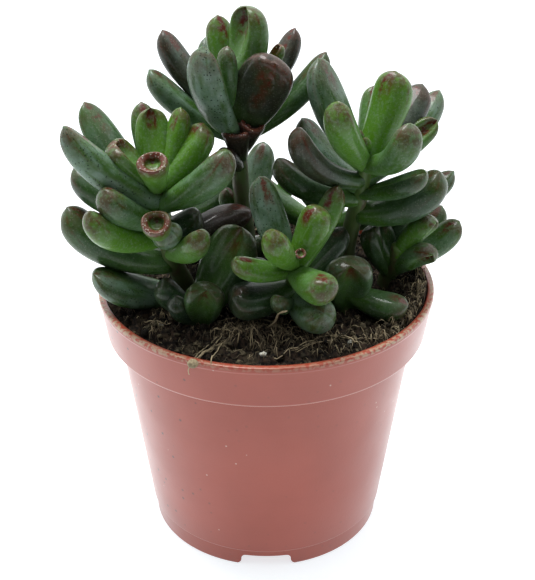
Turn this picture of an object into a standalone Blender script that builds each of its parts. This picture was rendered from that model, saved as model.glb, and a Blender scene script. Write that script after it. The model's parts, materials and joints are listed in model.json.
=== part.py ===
"""Potted crassula: a young jade plant with tubular leaves, in a plastic nursery pot filled with peat.

The frame is in metres with +Z up. The origin is the middle of the circle that the pot stands on,
-Y is the side that faces the viewer and +X is to the viewer's right.
"""

import math

import bmesh
import bpy
import numpy as np
from mathutils import Vector, noise

# Sizes are in millimetres, and MM turns them into metres where a mesh is made.
MM = 0.001

# Pieces that touch in life stand this far apart, and points closer than the next are made one.
CLEARANCE = 0.3
MERGE_DISTANCE = 0.02

# The pot: a thin-walled moulding with a collar on top and a foot ring below.
RIM_RADIUS = 52.5
POT_HEIGHT = 84.0
LIP_WIDTH = 2.0
COLLAR_HEIGHT = 14.3
COLLAR_FOOT_RADIUS = 50.5
COLLAR_WALL = 1.6
COLLAR_STEP_RISE = 1.5
LIP_LEAN = 0.15
SHOULDER_RADIUS = 46.8
FOOT_RADIUS = 37.8
FOOT_HEIGHT = 6.0
WALL = 1.2
FLOOR_UNDERSIDE = 4.3
FLOOR_THICKNESS = 1.5
FLOOR_CORNER = 1.0
FOOT_WIDTH = 2.6
FOOT_LEAN = 0.4
FOOT_STEP = 0.6
EDGE_ROUND = 0.5
SHARP_EDGE = 35
POT_SIDES = 56
NOTCH_COUNT = 4
NOTCH_WIDTH = 17.0
NOTCH_HEIGHT = 4.1
NOTCH_CORNER = 1.8
DRAIN_COUNT = 6
DRAIN_RADIUS = 4.0
DRAIN_CIRCLE = 22.0
DRAIN_SIDES = 12

# The soil: a plug of peat, a little below the lip, with an uneven top.
SOIL_TOP = 79.0
SOIL_RELIEF = 0.9
SOIL_CORNER = 1.0
SOIL_STEP_RISE = 2.0
SOIL_LUMPS_PER_METRE = 90.0
SOIL_CRUMBS_PER_METRE = 260.0
HEAP_PLACE = (43.0, 1.0)
HEAP_HEIGHT = 4.5
HEAP_SPREAD = 8.0
SOIL_SIDES = 32
SOIL_RINGS = (44.0, 33.0, 18.0)
STEM_FOOT = 45.0
STEM_HOLE_SIDES = 10
STEM_HOLE_CLEARANCE = 0.9

# Stems are tubes. A young leafy stem is about 5 mm thick, and more at its foot.
STEM_STEPS = 9
STEM_FOOT_RADIUS = 3.1
STEM_TIP_RADIUS = 2.0

# How far above its growing tip each leaf's upper side looks, along the stem.
APEX_REACH = 14.0

# Each kind of leaf is an outline of evenly spaced stations from root to tip, given as shares of its
# length and of half its width. Thickness is a share of the width. A groove of 1 takes the upper side
# down to the leaf's middle, one below 0 counts as none, and its spread is narrower for a higher number.
# A slant tips the mouth, and it starts at a share of the way from root to tip. A hook turns the tip
# towards the upper side, by a share of half the leaf's thickness.
SLANT_START = 0.45
LEAF_KINDS = {
    "finger": {
        "along": (0.0, 0.02, 0.15, 0.35, 0.56, 0.76, 0.9, 0.975, 1.0),
        "half": (0.0, 0.54, 0.7, 0.87, 0.98, 1.0, 0.83, 0.46, 0.0),
        "thickness": 0.93,
        "groove": (0.05, 0.2),
        "spread": 4.0,
        "slant": 0.1,
        "hook": 0.4,
        "rings": 6,
    },
    "spear": {
        "along": (0.0, 0.02, 0.15, 0.34, 0.54, 0.74, 0.89, 0.97, 1.0),
        "half": (0.0, 0.62, 0.86, 1.0, 0.98, 0.86, 0.64, 0.35, 0.0),
        "thickness": 0.92,
        "groove": (0.05, 0.15),
        "spread": 4.0,
        "slant": 0.1,
        "hook": 0.35,
        "rings": 6,
    },
    "spoon": {
        "along": (0.0, 0.02, 0.15, 0.35, 0.56, 0.76, 0.9, 0.975, 1.0),
        "half": (0.0, 0.44, 0.64, 0.87, 1.0, 0.97, 0.75, 0.4, 0.0),
        "thickness": 0.62,
        "groove": (0.1, 0.2),
        "spread": 3.0,
        "slant": 0.0,
        "hook": 0.35,
        "rings": 6,
    },
    "ear": {
        "along": (0.0, 0.02, 0.15, 0.34, 0.54, 0.75, 0.92, 1.0, 0.99),
        "half": (0.0, 0.5, 0.66, 0.82, 0.94, 1.0, 0.9, 0.5, 0.0),
        "thickness": 0.86,
        "groove": (0.3, 1.5),
        "spread": 2.4,
        "slant": 0.5,
        "hook": 0.0,
        "rings": 8,
    },
    "cup": {
        "along": (0.0, 0.02, 0.28, 0.62, 0.9, 1.0, 0.97, 0.86, 0.82),
        "half": (0.0, 0.52, 0.66, 0.82, 1.0, 0.9, 0.58, 0.4, 0.0),
        "thickness": 0.94,
        "groove": (0.0, 0.1),
        "spread": 2.0,
        "slant": 0.6,
        "hook": 0.0,
        "rings": 8,
    },
    "fold": {
        "along": (0.0, 0.02, 0.15, 0.35, 0.56, 0.76, 0.9, 0.975, 1.0),
        "half": (0.0, 0.5, 0.68, 0.88, 1.0, 0.97, 0.8, 0.46, 0.0),
        "thickness": 0.72,
        "groove": (0.3, 1.0),
        "spread": 9.0,
        "slant": 0.0,
        "hook": 0.2,
        "rings": 8,
    },
    "slit": {
        "along": (0.0, 0.02, 0.15, 0.35, 0.56, 0.76, 0.9, 0.975, 1.0),
        "half": (0.0, 0.52, 0.7, 0.87, 0.97, 1.0, 0.87, 0.52, 0.0),
        "thickness": 0.82,
        "groove": (-0.9, 1.3),
        "spread": 6.0,
        "slant": 0.2,
        "hook": 0.2,
        "rings": 8,
    },
    "bowl": {
        "along": (0.0, 0.02, 0.14, 0.34, 0.56, 0.77, 0.92, 0.985, 1.0),
        "half": (0.0, 0.5, 0.84, 0.99, 1.0, 0.93, 0.74, 0.42, 0.0),
        "thickness": 0.6,
        "groove": (0.1, 0.4),
        "spread": 3.0,
        "slant": 0.0,
        "hook": 0.2,
        "rings": 8,
    },
}
LEAF_SIDES = 8

# Each stem is given by points from its foot in the soil up to its growing tip. Each leaf row gives its
# kind, the height at which it leaves the stem, its heading (0 is +X and 90 is +Y, away from the
# viewer), its rise above level, its length and width, how far it bows as a share of its length, and
# how far it is rolled about itself. Angles are in degrees.
LEFT_STEM = ((-24, -7, 45), (-24, -7, 64), (-24, -7, 82), (-28, -14, 99), (-30.4, -20, 117), (-31, -21, 130))
LEFT_LEAVES = (
    ("spear", 120, 197, 43, 36.5, 11.2, 0.05, 0),
    ("spoon", 121, 142, 38, 36, 10.8, 0.06, 0),
    ("ear", 126, 187, 49, 17, 11.5, 0.05, 0),
    ("cup", 125, 271, 44, 20, 8.6, 0.05, 0),
    ("fold", 127, 101, 63, 20.5, 9.6, 0.04, 0),
    ("finger", 123, 108, 50, 27, 7.6, 0.05, 0),
    ("finger", 126, 49, 59, 22.5, 7.0, 0.04, 0),
    ("finger", 125, 25, 44, 22.5, 9.8, 0.06, 0),
    ("finger", 119, 336, 39, 30, 10.6, 0.05, 0),
    ("finger", 116, 153, 14, 31, 10.8, 0.1, 0),
    ("finger", 113, 224, 35, 26, 9.8, 0.06, 0),
    ("cup", 112, 270, 28, 26, 8.4, 0.08, 0),
    ("finger", 107.5, 222, 28, 31, 9.4, 0.11, 0),
    ("finger", 97, 179, 27, 36.5, 12.0, 0.16, 0),
    ("finger", 111.5, 278, 20, 21, 8.6, 0.06, 0),
    ("finger", 101, 296, 33, 29, 8.4, 0.06, 0),
    ("spoon", 82.5, 205, 22, 33, 14.6, 0.05, 0),
    ("finger", 101, 27, 13, 27, 9.0, -0.13, 0),
    ("finger", 118, 62, 30, 26, 8.6, 0.08, 0),
    ("finger", 106, 108, 22, 26, 9.0, 0.1, 0),
    ("finger", 111, 352, 20, 12, 8.4, 0.05, 0),
)

TOP_STEM = ((-5, 6, 45), (-5, 6, 64), (-5, 6, 82), (-6.5, 5, 99), (-8, 2.5, 122), (-8.3, 1, 146))
TOP_LEAVES = (
    ("slit", 140, 36, 82, 30.5, 12.6, 0.04, -10),
    ("finger", 140, 118, 60, 28, 8.6, 0.05, 0),
    ("finger", 138, 238, 74, 23, 6.2, 0.04, 0),
    ("spoon", 131, 238, 60, 37, 12.2, 0.1, 0),
    ("finger", 137, 152, 40, 34.5, 8.4, 0.08, 0),
    ("finger", 131, 171, 34, 33, 8.2, 0.06, 0),
    ("bowl", 135, 311, 54, 29, 15.8, 0.06, 114),
    ("ear", 141, 12, 54, 21.5, 5.6, 0.05, 0),
    ("finger", 139, 44, 39, 31.5, 7.4, 0.1, 0),
    ("finger", 131, 24, 36, 36.5, 8.0, 0.08, 0),
    ("cup", 124.5, 266, 60, 14.5, 8.8, 0.03, 0),
    ("cup", 126, 307, 58, 14, 7.8, 0.03, 0),
    ("finger", 139, 119, 37, 27, 7.4, 0.06, 0),
    ("spoon", 104, 72, 38, 26, 9.6, 0.05, 0),
    ("finger", 97, 172, 66, 17, 6.0, 0.04, 0),
    ("finger", 121, 243, 39, 13, 6.4, 0.04, 0),
    ("finger", 128, 82, 30, 26, 8.0, 0.1, 0),
)

RIGHT_STEM = ((24, 3, 45), (24, 3, 64), (24, 3, 82), (26, -1, 102), (28.5, -6.5, 119), (29.5, -8, 133))
RIGHT_LEAVES = (
    ("spoon", 125, 161, 62, 35, 14.4, 0.04, 0),
    ("finger", 126, 235, 52, 29.5, 9.8, 0.05, 0),
    ("finger", 128, 31, 67, 27, 11.8, 0.04, 0),
    ("finger", 127, 79, 49, 23.5, 7.6, 0.04, 0),
    ("finger", 125, 49, 31, 33, 10.4, 0.06, 0),
    ("finger", 121, 50, 22, 42.5, 9.4, 0.08, 0),
    ("fold", 123, 27, 27, 27.5, 8.6, 0.1, 40),
    ("finger", 126.5, 307, 42, 25.5, 9.6, 0.15, 0),
    ("finger", 121, 208, 40, 31, 9.0, 0.14, 0),
    ("finger", 114, 190, 27, 29.5, 9.0, 0.1, 0),
    ("fold", 116, 331, 26, 23, 9.4, 0.05, 0),
    ("finger", 108.5, 353, 27, 29.5, 11.8, 0.14, 0),
    ("finger", 109, 22, 11, 34.5, 8.2, 0.12, 0),
    ("finger", 118, 137, 30, 29, 9.2, 0.08, 0),
    ("finger", 129, 233, 62, 10.5, 3.0, 0.0, 0),
    ("finger", 130, 261, 45, 9.5, 3.0, 0.0, 0),
    ("finger", 114, 92, 28, 28, 9.0, 0.1, 0),
    ("finger", 91, 247, 18, 13, 6.4, 0.04, 0),
)

FRONT_STEM = ((8, -20, 45), (8, -20, 64), (8, -20, 82), (8, -25, 96), (8, -28, 107))
FRONT_LEAVES = (
    ("finger", 104, 245, 45, 22, 8.4, 0.06, 0),
    ("finger", 104, 353, 67, 19.5, 9.8, 0.03, 0),
    ("finger", 101, 210, 20, 21.5, 7.2, 0.06, 0),
    ("finger", 101, 296, 10, 21.5, 10.0, 0.06, 0),
    ("finger", 105, 249, 54, 8.5, 3.0, 0.0, 0),
    ("cup", 105, 285, 40, 8.5, 3.4, 0.0, 0),
    ("finger", 100, 41, 51, 28.5, 7.4, 0.05, 0),
    ("spoon", 98, 152, 68, 32, 10.4, 0.03, 0),
    ("finger", 94, 206, 0, 20.5, 12.0, 0.06, 0),
    ("finger", 92, 297, 2, 19.5, 11.2, 0.08, 0),
    ("finger", 89, 253, 26, 19, 6.0, 0.06, 0),
    ("finger", 94, 49, 22, 26, 8.4, 0.02, 0),
    ("finger", 90, 139, 21, 18, 7.4, 0.05, 0),
)

MID_RIGHT_STEM = ((24, -17, 45), (24, -17, 64), (24, -17, 82), (24, -18, 92))
MID_RIGHT_LEAVES = (
    ("fold", 84, 272, 66, 21, 15.0, 0.03, 180),
    ("finger", 90, 338, -10, 19.5, 9.4, 0.05, 0),
)

LOW_RIGHT_STEM = ((38, 2, 45), (38, 2, 64), (38, 2, 82), (40, -1, 90), (40.5, -4, 98))
LOW_RIGHT_LEAVES = (
    ("finger", 90, 17, 27, 24.5, 8.8, 0.1, 0),
    ("finger", 92, 49, 20, 26, 8.8, 0.1, 0),
    ("slit", 93, 345, 52, 18, 9.2, 0.05, 125),
    ("slit", 86, 316, 38, 20.5, 8.8, 0.08, 125),
    ("finger", 86, 208, 63, 19.5, 8.2, 0.03, 0),
    ("finger", 92, 85, 48, 18, 8.0, 0.06, 0),
    ("finger", 90, 165, 66, 14, 8.0, 0.04, 0),
)

LOW_LEFT_STEM = ((-20, -23, 45), (-20, -23, 64), (-20, -23, 82), (-19.5, -23, 89))
LOW_LEFT_LEAVES = (
    ("fold", 84, 26, 61, 30, 15.0, 0.04, 35),
    ("finger", 82, 288, 60, 19, 11.6, 0.04, 0),
    ("finger", 82, 225, 48, 15, 7.2, 0.05, 0),
    ("finger", 85, 61, 28, 19, 7.2, 0.05, 0),
    ("finger", 85, 186, 42, 16, 8.6, 0.06, 0),
)

BACK_LEFT_STEM = ((-20, 22, 45), (-20, 22, 64), (-20, 22, 82), (-23, 26, 94), (-24, 27.5, 104))
BACK_RIGHT_STEM = ((16, 25, 45), (16, 25, 64), (16, 25, 82), (19, 26, 94), (21, 27, 106))
BACK_LOW_STEM = ((2, 37, 45), (2, 37, 64), (2, 37, 82), (2.5, 41.5, 91))

# Leaves on the side away from the viewer grow by the plant's own rule: in pairs that face each other,
# each pair a quarter turn from the one below, longer and more level the lower they sit.
PAIR_LENGTHS = (17, 25, 27, 24)
PAIR_RISES = (66, 44, 28, 14)
PAIR_WIDTHS = (6.4, 8.6, 9.4, 9.0)
PAIR_SPACING = 6.0
PAIR_TURN = 90
OPPOSITE = 180


def paired_leaves(tip_height, heading, pairs, length_scale):
    """Leaf rows for a stem whose leaves are regular pairs, counted down from its growing tip."""
    rows = []
    for level in range(pairs):
        for side in (0, OPPOSITE):
            rows.append(
                (
                    "finger",
                    tip_height - PAIR_SPACING * level,
                    heading + PAIR_TURN * level + side,
                    PAIR_RISES[level],
                    PAIR_LENGTHS[level] * length_scale,
                    PAIR_WIDTHS[level],
                    0.08,
                    0,
                )
            )
    return rows


SHOOTS = {
    "left_shoot": (LEFT_STEM, LEFT_LEAVES),
    "top_shoot": (TOP_STEM, TOP_LEAVES),
    "right_shoot": (RIGHT_STEM, RIGHT_LEAVES),
    "front_shoot": (FRONT_STEM, FRONT_LEAVES),
    "mid_right_shoot": (MID_RIGHT_STEM, MID_RIGHT_LEAVES),
    "low_right_shoot": (LOW_RIGHT_STEM, LOW_RIGHT_LEAVES),
    "low_left_shoot": (LOW_LEFT_STEM, LOW_LEFT_LEAVES),
    "back_left_shoot": (BACK_LEFT_STEM, paired_leaves(102, 70, 4, 0.95)),
    "back_right_shoot": (BACK_RIGHT_STEM, paired_leaves(103, 160, 4, 1.0)),
    "back_low_shoot": (BACK_LOW_STEM, paired_leaves(90, 350, 1, 0.9)),
}


def clear_scene():
    for old in list(bpy.data.objects):
        bpy.data.objects.remove(old)


def new_collection(name):
    collection = bpy.data.collections.new(name)
    bpy.context.scene.collection.children.link(collection)
    return collection


def plain_material(name, colour, roughness):
    material = bpy.data.materials.new(name)
    material.use_nodes = True
    shader = material.node_tree.nodes["Principled BSDF"]
    shader.inputs["Base Color"].default_value = (*colour, 1.0)
    shader.inputs["Roughness"].default_value = roughness
    shader.inputs["Metallic"].default_value = 0.0
    material.diffuse_color = (*colour, 1.0)
    return material


def add_object(name, mesh, collection, material=None):
    thing = bpy.data.objects.new(name, mesh)
    collection.objects.link(thing)
    if material:
        mesh.materials.append(material)
    return thing


def applied(thing):
    """Replaces an object's mesh by what its modifiers make of it."""
    graph = bpy.context.evaluated_depsgraph_get()
    mesh = bpy.data.meshes.new_from_object(thing.evaluated_get(graph))
    thing.modifiers.clear()
    thing.data = mesh
    return thing


def turned(name, outline, sides, collection, material=None):
    """A turned solid from an outline of (radius, height) that runs down its outer side."""
    mesh = bpy.data.meshes.new(name)
    points = [(radius * MM, 0.0, height * MM) for radius, height in outline]
    mesh.from_pydata(points, [(k, k + 1) for k in range(len(points) - 1)], [])
    thing = add_object(name, mesh, collection, material)
    screw = thing.modifiers.new("turn", "SCREW")
    screw.axis = "Z"
    screw.steps = sides
    screw.render_steps = sides
    screw.use_merge_vertices = True
    screw.merge_threshold = 0.00001
    return applied(thing)


def cut(thing, cutters):
    """Takes every object of a collection away from a solid."""
    boolean = thing.modifiers.new("cut", "BOOLEAN")
    boolean.operation = "DIFFERENCE"
    boolean.operand_type = "COLLECTION"
    boolean.collection = cutters
    applied(thing)


def as_cutter(thing):
    thing.hide_render = True
    thing.display_type = "WIRE"


def wall_radius(height):
    """The pot's inner radius below the collar."""
    share = height / (POT_HEIGHT - COLLAR_HEIGHT)
    return FOOT_RADIUS + (SHOULDER_RADIUS - FOOT_RADIUS) * share - WALL


def pot_outline():
    collar_foot = POT_HEIGHT - COLLAR_HEIGHT
    floor = FLOOR_UNDERSIDE + FLOOR_THICKNESS
    lip_inner = RIM_RADIUS - LIP_WIDTH
    inside = [
        (0.0, floor),
        (wall_radius(floor) - FLOOR_CORNER, floor),
        (wall_radius(floor + FLOOR_CORNER), floor + FLOOR_CORNER),
        (wall_radius(collar_foot), collar_foot),
        (COLLAR_FOOT_RADIUS - COLLAR_WALL, collar_foot + COLLAR_STEP_RISE),
        (lip_inner, POT_HEIGHT - EDGE_ROUND),
        (lip_inner + EDGE_ROUND, POT_HEIGHT),
    ]
    outside = [
        (RIM_RADIUS - EDGE_ROUND, POT_HEIGHT),
        (RIM_RADIUS, POT_HEIGHT - EDGE_ROUND),
        (RIM_RADIUS - LIP_LEAN, POT_HEIGHT - LIP_WIDTH),
        (COLLAR_FOOT_RADIUS, collar_foot + EDGE_ROUND),
        (COLLAR_FOOT_RADIUS - EDGE_ROUND, collar_foot),
        (SHOULDER_RADIUS, collar_foot - EDGE_ROUND),
        (FOOT_RADIUS + FOOT_STEP, FOOT_HEIGHT + EDGE_ROUND),
        (FOOT_RADIUS, FOOT_HEIGHT),
        (FOOT_RADIUS - FOOT_LEAN, EDGE_ROUND),
        (FOOT_RADIUS - FOOT_LEAN - EDGE_ROUND, 0.0),
        (FOOT_RADIUS - FOOT_WIDTH, 0.0),
        (FOOT_RADIUS - FOOT_WIDTH, FLOOR_UNDERSIDE),
        (0.0, FLOOR_UNDERSIDE),
    ]
    return inside + outside


def notch_cutter(heading, cutters):
    """A round-cornered block across the foot ring, where water runs out."""
    corner = NOTCH_CORNER * MM
    body = bmesh.new()
    bmesh.ops.create_cube(body, size=1.0)
    deep = FOOT_WIDTH * 3 * MM
    tall = 2 * NOTCH_HEIGHT * MM
    bmesh.ops.scale(body, vec=(deep, NOTCH_WIDTH * MM, tall), verts=body.verts)
    lengthwise = [edge for edge in body.edges if abs(edge.verts[0].co.x - edge.verts[1].co.x) > corner]
    bmesh.ops.bevel(body, geom=lengthwise, offset=corner, segments=2, profile=0.5, affect="EDGES")
    mesh = bpy.data.meshes.new("notch_cutter")
    body.to_mesh(mesh)
    body.free()
    notch = add_object("notch_cutter", mesh, cutters)
    middle = (FOOT_RADIUS - FOOT_WIDTH / 2) * MM
    notch.location = (middle * math.cos(heading), middle * math.sin(heading), 0.0)
    notch.rotation_euler = (0.0, 0.0, heading)
    as_cutter(notch)


def upright_cylinder(name, place, radius, low, high, sides, cutters):
    body = bmesh.new()
    bmesh.ops.create_cone(
        body,
        cap_ends=True,
        segments=sides,
        radius1=radius * MM,
        radius2=radius * MM,
        depth=(high - low) * MM,
    )
    mesh = bpy.data.meshes.new(name)
    body.to_mesh(mesh)
    body.free()
    cylinder = add_object(name, mesh, cutters)
    cylinder.location = (place[0] * MM, place[1] * MM, (low + high) / 2 * MM)
    as_cutter(cylinder)


def make_pot(parts, material):
    pot = turned("pot", pot_outline(), POT_SIDES, parts, material)
    cutters = new_collection("pot_cutters")
    cutters.hide_render = True
    for k in range(NOTCH_COUNT):
        notch_cutter(2 * math.pi * k / NOTCH_COUNT - math.pi / 2, cutters)
    floor_top = FLOOR_UNDERSIDE + FLOOR_THICKNESS
    for k in range(DRAIN_COUNT):
        angle = 2 * math.pi * (k + 0.5) / DRAIN_COUNT
        place = (DRAIN_CIRCLE * math.cos(angle), DRAIN_CIRCLE * math.sin(angle))
        low = FLOOR_UNDERSIDE - FLOOR_THICKNESS
        high = floor_top + FLOOR_THICKNESS
        upright_cylinder("drain_cutter", place, DRAIN_RADIUS, low, high, DRAIN_SIDES, cutters)
    cut(pot, cutters)
    pot.data.set_sharp_from_angle(angle=math.radians(SHARP_EDGE))
    return pot


def soil_outline():
    floor = FLOOR_UNDERSIDE + FLOOR_THICKNESS + CLEARANCE
    collar_foot = POT_HEIGHT - COLLAR_HEIGHT
    collar_inside = COLLAR_FOOT_RADIUS - COLLAR_WALL - CLEARANCE
    slope = (RIM_RADIUS - LIP_WIDTH - COLLAR_FOOT_RADIUS + COLLAR_WALL) / COLLAR_HEIGHT
    edge = collar_inside + slope * (SOIL_TOP - collar_foot - SOIL_STEP_RISE)
    outline = [(0.0, SOIL_TOP)]
    outline += [(radius, SOIL_TOP) for radius in reversed(SOIL_RINGS)]
    outline += [
        (edge - SOIL_CORNER, SOIL_TOP),
        (edge, SOIL_TOP - SOIL_CORNER),
        (collar_inside, collar_foot + SOIL_STEP_RISE),
        (wall_radius(collar_foot) - CLEARANCE, collar_foot + SOIL_STEP_RISE - COLLAR_STEP_RISE),
        (wall_radius(floor + FLOOR_CORNER) - CLEARANCE, floor + FLOOR_CORNER + CLEARANCE),
        (wall_radius(floor) - FLOOR_CORNER - CLEARANCE, floor),
        (0.0, floor),
    ]
    return outline


def soil_rise(place):
    """How far the soil stands above its level at a place: small bumps, and a heap on one side."""
    bumps = noise.noise(place * SOIL_LUMPS_PER_METRE) + noise.noise(place * SOIL_CRUMBS_PER_METRE) / 2
    away = math.dist(place[:2], (HEAP_PLACE[0] * MM, HEAP_PLACE[1] * MM)) / (HEAP_SPREAD * MM)
    return SOIL_RELIEF * bumps + HEAP_HEIGHT * math.exp(-(away**2) / 2)


def make_soil(parts, material):
    soil = turned("soil", soil_outline(), SOIL_SIDES, parts, material)
    for point in soil.data.vertices:
        if point.co.z > (SOIL_TOP - SOIL_CORNER / 2) * MM:
            point.co.z += soil_rise(point.co) * MM
    cutters = new_collection("soil_cutters")
    cutters.hide_render = True
    hole_radius = STEM_FOOT_RADIUS + STEM_HOLE_CLEARANCE
    for stem, _ in SHOOTS.values():
        low = STEM_FOOT - CLEARANCE
        upright_cylinder("stem_hole", stem[0], hole_radius, low, POT_HEIGHT, STEM_HOLE_SIDES, cutters)
    cut(soil, cutters)
    return soil


def through(stations, before, after, share):
    """Reads a smooth curve through evenly spaced stations, at shares of the way from 0 to 1."""
    padded = np.vstack([before, stations, after]).astype(float)
    place = np.clip(share, 0.0, 1.0) * (len(stations) - 1)
    first = np.minimum(place.astype(int), len(stations) - 2)
    f = (place - first)[:, None]
    a, b, c, d = (padded[first + k] for k in range(4))
    return 0.5 * (2 * b + (c - a) * f + (2 * a - 5 * b + 4 * c - d) * f**2 + (3 * b - 3 * c + d - a) * f**3)


def stem_line(stem, steps):
    """Points along a stem, evenly shared between its own points."""
    stem = np.array(stem, float)
    return through(stem, 2 * stem[0] - stem[1], 2 * stem[-1] - stem[-2], np.linspace(0.0, 1.0, steps))


def stem_radius(height, top):
    """A stem keeps its foot's thickness in the soil and tapers to its growing tip."""
    share = np.clip((height - SOIL_TOP) / (top - SOIL_TOP), 0.0, 1.0)
    return STEM_FOOT_RADIUS + (STEM_TIP_RADIUS - STEM_FOOT_RADIUS) * share


def unit(vector):
    return vector / np.linalg.norm(vector)


def leaf_frame(stem, row):
    """A leaf's root and tip, and the direction that its upper side faces."""
    _, height, heading, rise, length, _, _, roll = row
    line = stem_line(stem, 200)
    root = line[np.argmin(abs(line[:, 2] - height))]
    heading, rise, roll = math.radians(heading), math.radians(rise), math.radians(roll)
    level = math.cos(rise)
    forward = np.array([math.cos(heading) * level, math.sin(heading) * level, math.sin(rise)])
    tip = root + forward * length
    apex = line[-1] + unit(line[-1] - line[-2]) * APEX_REACH
    towards = apex - (root + tip) / 2
    upper = unit(towards - forward * np.dot(towards, forward))
    upper = upper * math.cos(roll) + np.cross(forward, upper) * math.sin(roll)
    return root, tip, upper


def leaf_points(sphere, stem, row):
    """Moves the points of a unit sphere, whose poles are on Z, onto the surface of a leaf."""
    kind = LEAF_KINDS[row[0]]
    length, width, bow = row[4], row[5], row[6]
    root, tip, upper = leaf_frame(stem, row)
    share = np.arccos(np.clip(-sphere[:, 2], -1.0, 1.0)) / math.pi
    around = np.arctan2(sphere[:, 1], sphere[:, 0])
    stations = np.column_stack([kind["along"], kind["half"]])
    mirror = np.array([1.0, -1.0])
    along, half = through(stations, stations[1] * mirror, stations[-2] * mirror, share).T
    half = half * width / 2
    near_tip = np.clip((share - SLANT_START) * 2, 0.0, 1.0)
    along = along - kind["slant"] * near_tip * half * np.maximum(np.sin(around), 0.0) / length
    groove_root, groove_tip = kind["groove"]
    groove = np.maximum(groove_root + (groove_tip - groove_root) * np.clip(along, 0.0, 1.0), 0.0)
    rise = np.sin(around)
    raised = rise * (1.0 - groove * np.maximum(rise, 0.0) ** kind["spread"])
    middle = (root + tip) / 2 - 2 * bow * length * upper
    t = along[:, None]
    centre = root * (1 - t) ** 2 + 2 * middle * t * (1 - t) + tip * t**2
    lifted = kind["hook"] * kind["thickness"] * width / 2 * near_tip**2
    onward = 2 * (middle - root) * (1 - t) + 2 * (tip - middle) * t
    onward /= np.linalg.norm(onward, axis=1)[:, None]
    side = unit(np.cross(upper, tip - root))
    over = np.cross(onward, side)
    centre = centre + over * lifted[:, None]
    across = side * (half * np.cos(around))[:, None]
    return centre + across + over * (half * kind["thickness"] * raised)[:, None]


def leaf_mesh(stem, row):
    body = bmesh.new()
    rings = LEAF_KINDS[row[0]]["rings"]
    bmesh.ops.create_uvsphere(body, u_segments=LEAF_SIDES, v_segments=rings, radius=1.0)
    sphere = np.array([point.co for point in body.verts])
    for point, place in zip(body.verts, leaf_points(sphere, stem, row)):
        point.co = Vector(place * MM)
    mesh = bpy.data.meshes.new("leaf")
    body.to_mesh(mesh)
    body.free()
    return mesh


def stem_tube(name, stem, collection, material):
    """A stem as a round-ended tube on its line, made a mesh so that leaves can be joined to it."""
    line = stem_line(stem, STEM_STEPS)
    curve = bpy.data.curves.new(name, "CURVE")
    curve.dimensions = "3D"
    curve.bevel_depth = MM
    curve.bevel_resolution = 2
    curve.use_fill_caps = True
    spline = curve.splines.new("POLY")
    spline.points.add(len(line) - 1)
    for point, place in zip(spline.points, line):
        point.co = (*(place * MM), 1.0)
        point.radius = stem_radius(place[2], line[-1][2])
    tube = bpy.data.objects.new(name, curve)
    collection.objects.link(tube)
    graph = bpy.context.evaluated_depsgraph_get()
    mesh = bpy.data.meshes.new_from_object(tube.evaluated_get(graph))
    bpy.data.objects.remove(tube)
    body = bmesh.new()
    body.from_mesh(mesh)
    bmesh.ops.remove_doubles(body, verts=body.verts, dist=0.00001)
    bmesh.ops.recalc_face_normals(body, faces=body.faces)
    body.to_mesh(mesh)
    body.free()
    return add_object(name, mesh, collection, material)


def keep_largest_body(mesh):
    """Drops the loose scraps and sealed hollows that fusing can leave."""
    body = bmesh.new()
    body.from_mesh(mesh)
    bmesh.ops.triangulate(body, faces=body.faces)
    bmesh.ops.remove_doubles(body, verts=body.verts, dist=MERGE_DISTANCE * MM)
    unseen = set(body.faces)
    bodies = []
    while unseen:
        front = [unseen.pop()]
        group = list(front)
        while front:
            for edge in front.pop().edges:
                for face in edge.link_faces:
                    if face in unseen:
                        unseen.remove(face)
                        front.append(face)
                        group.append(face)
        bodies.append(group)
    bodies.sort(key=len)
    for group in bodies[:-1]:
        bmesh.ops.delete(body, geom=group, context="FACES")
    loose = [point for point in body.verts if not point.link_faces]
    bmesh.ops.delete(body, geom=loose, context="VERTS")
    body.to_mesh(mesh)
    body.free()


def make_shoot(name, stem, leaves, parts, material):
    shoot = stem_tube(name, stem, parts, material)
    grown = new_collection(name + "_leaves")
    grown.hide_render = True
    for row in leaves:
        as_cutter(add_object("leaf", leaf_mesh(stem, row), grown))
    union = shoot.modifiers.new("grow", "BOOLEAN")
    union.operation = "UNION"
    union.operand_type = "COLLECTION"
    union.collection = grown
    applied(shoot)
    for leaf in list(grown.objects):
        bpy.data.objects.remove(leaf)
    bpy.data.collections.remove(grown)
    keep_largest_body(shoot.data)
    shoot.data.shade_smooth()
    return shoot


def main():
    clear_scene()
    parts = new_collection("potted_crassula")
    terracotta = plain_material("terracotta plastic", (0.40, 0.13, 0.10), 0.45)
    peat = plain_material("peat", (0.03, 0.022, 0.015), 0.95)
    leaf_green = plain_material("leaf", (0.06, 0.14, 0.045), 0.35)
    make_pot(parts, terracotta)
    make_soil(parts, peat)
    for name, (stem, leaves) in SHOOTS.items():
        make_shoot(name, stem, leaves, parts, leaf_green)


main()
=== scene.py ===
import json
import math
import random
from collections import namedtuple

import bmesh
import bpy
import numpy as np
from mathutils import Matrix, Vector, noise

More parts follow.
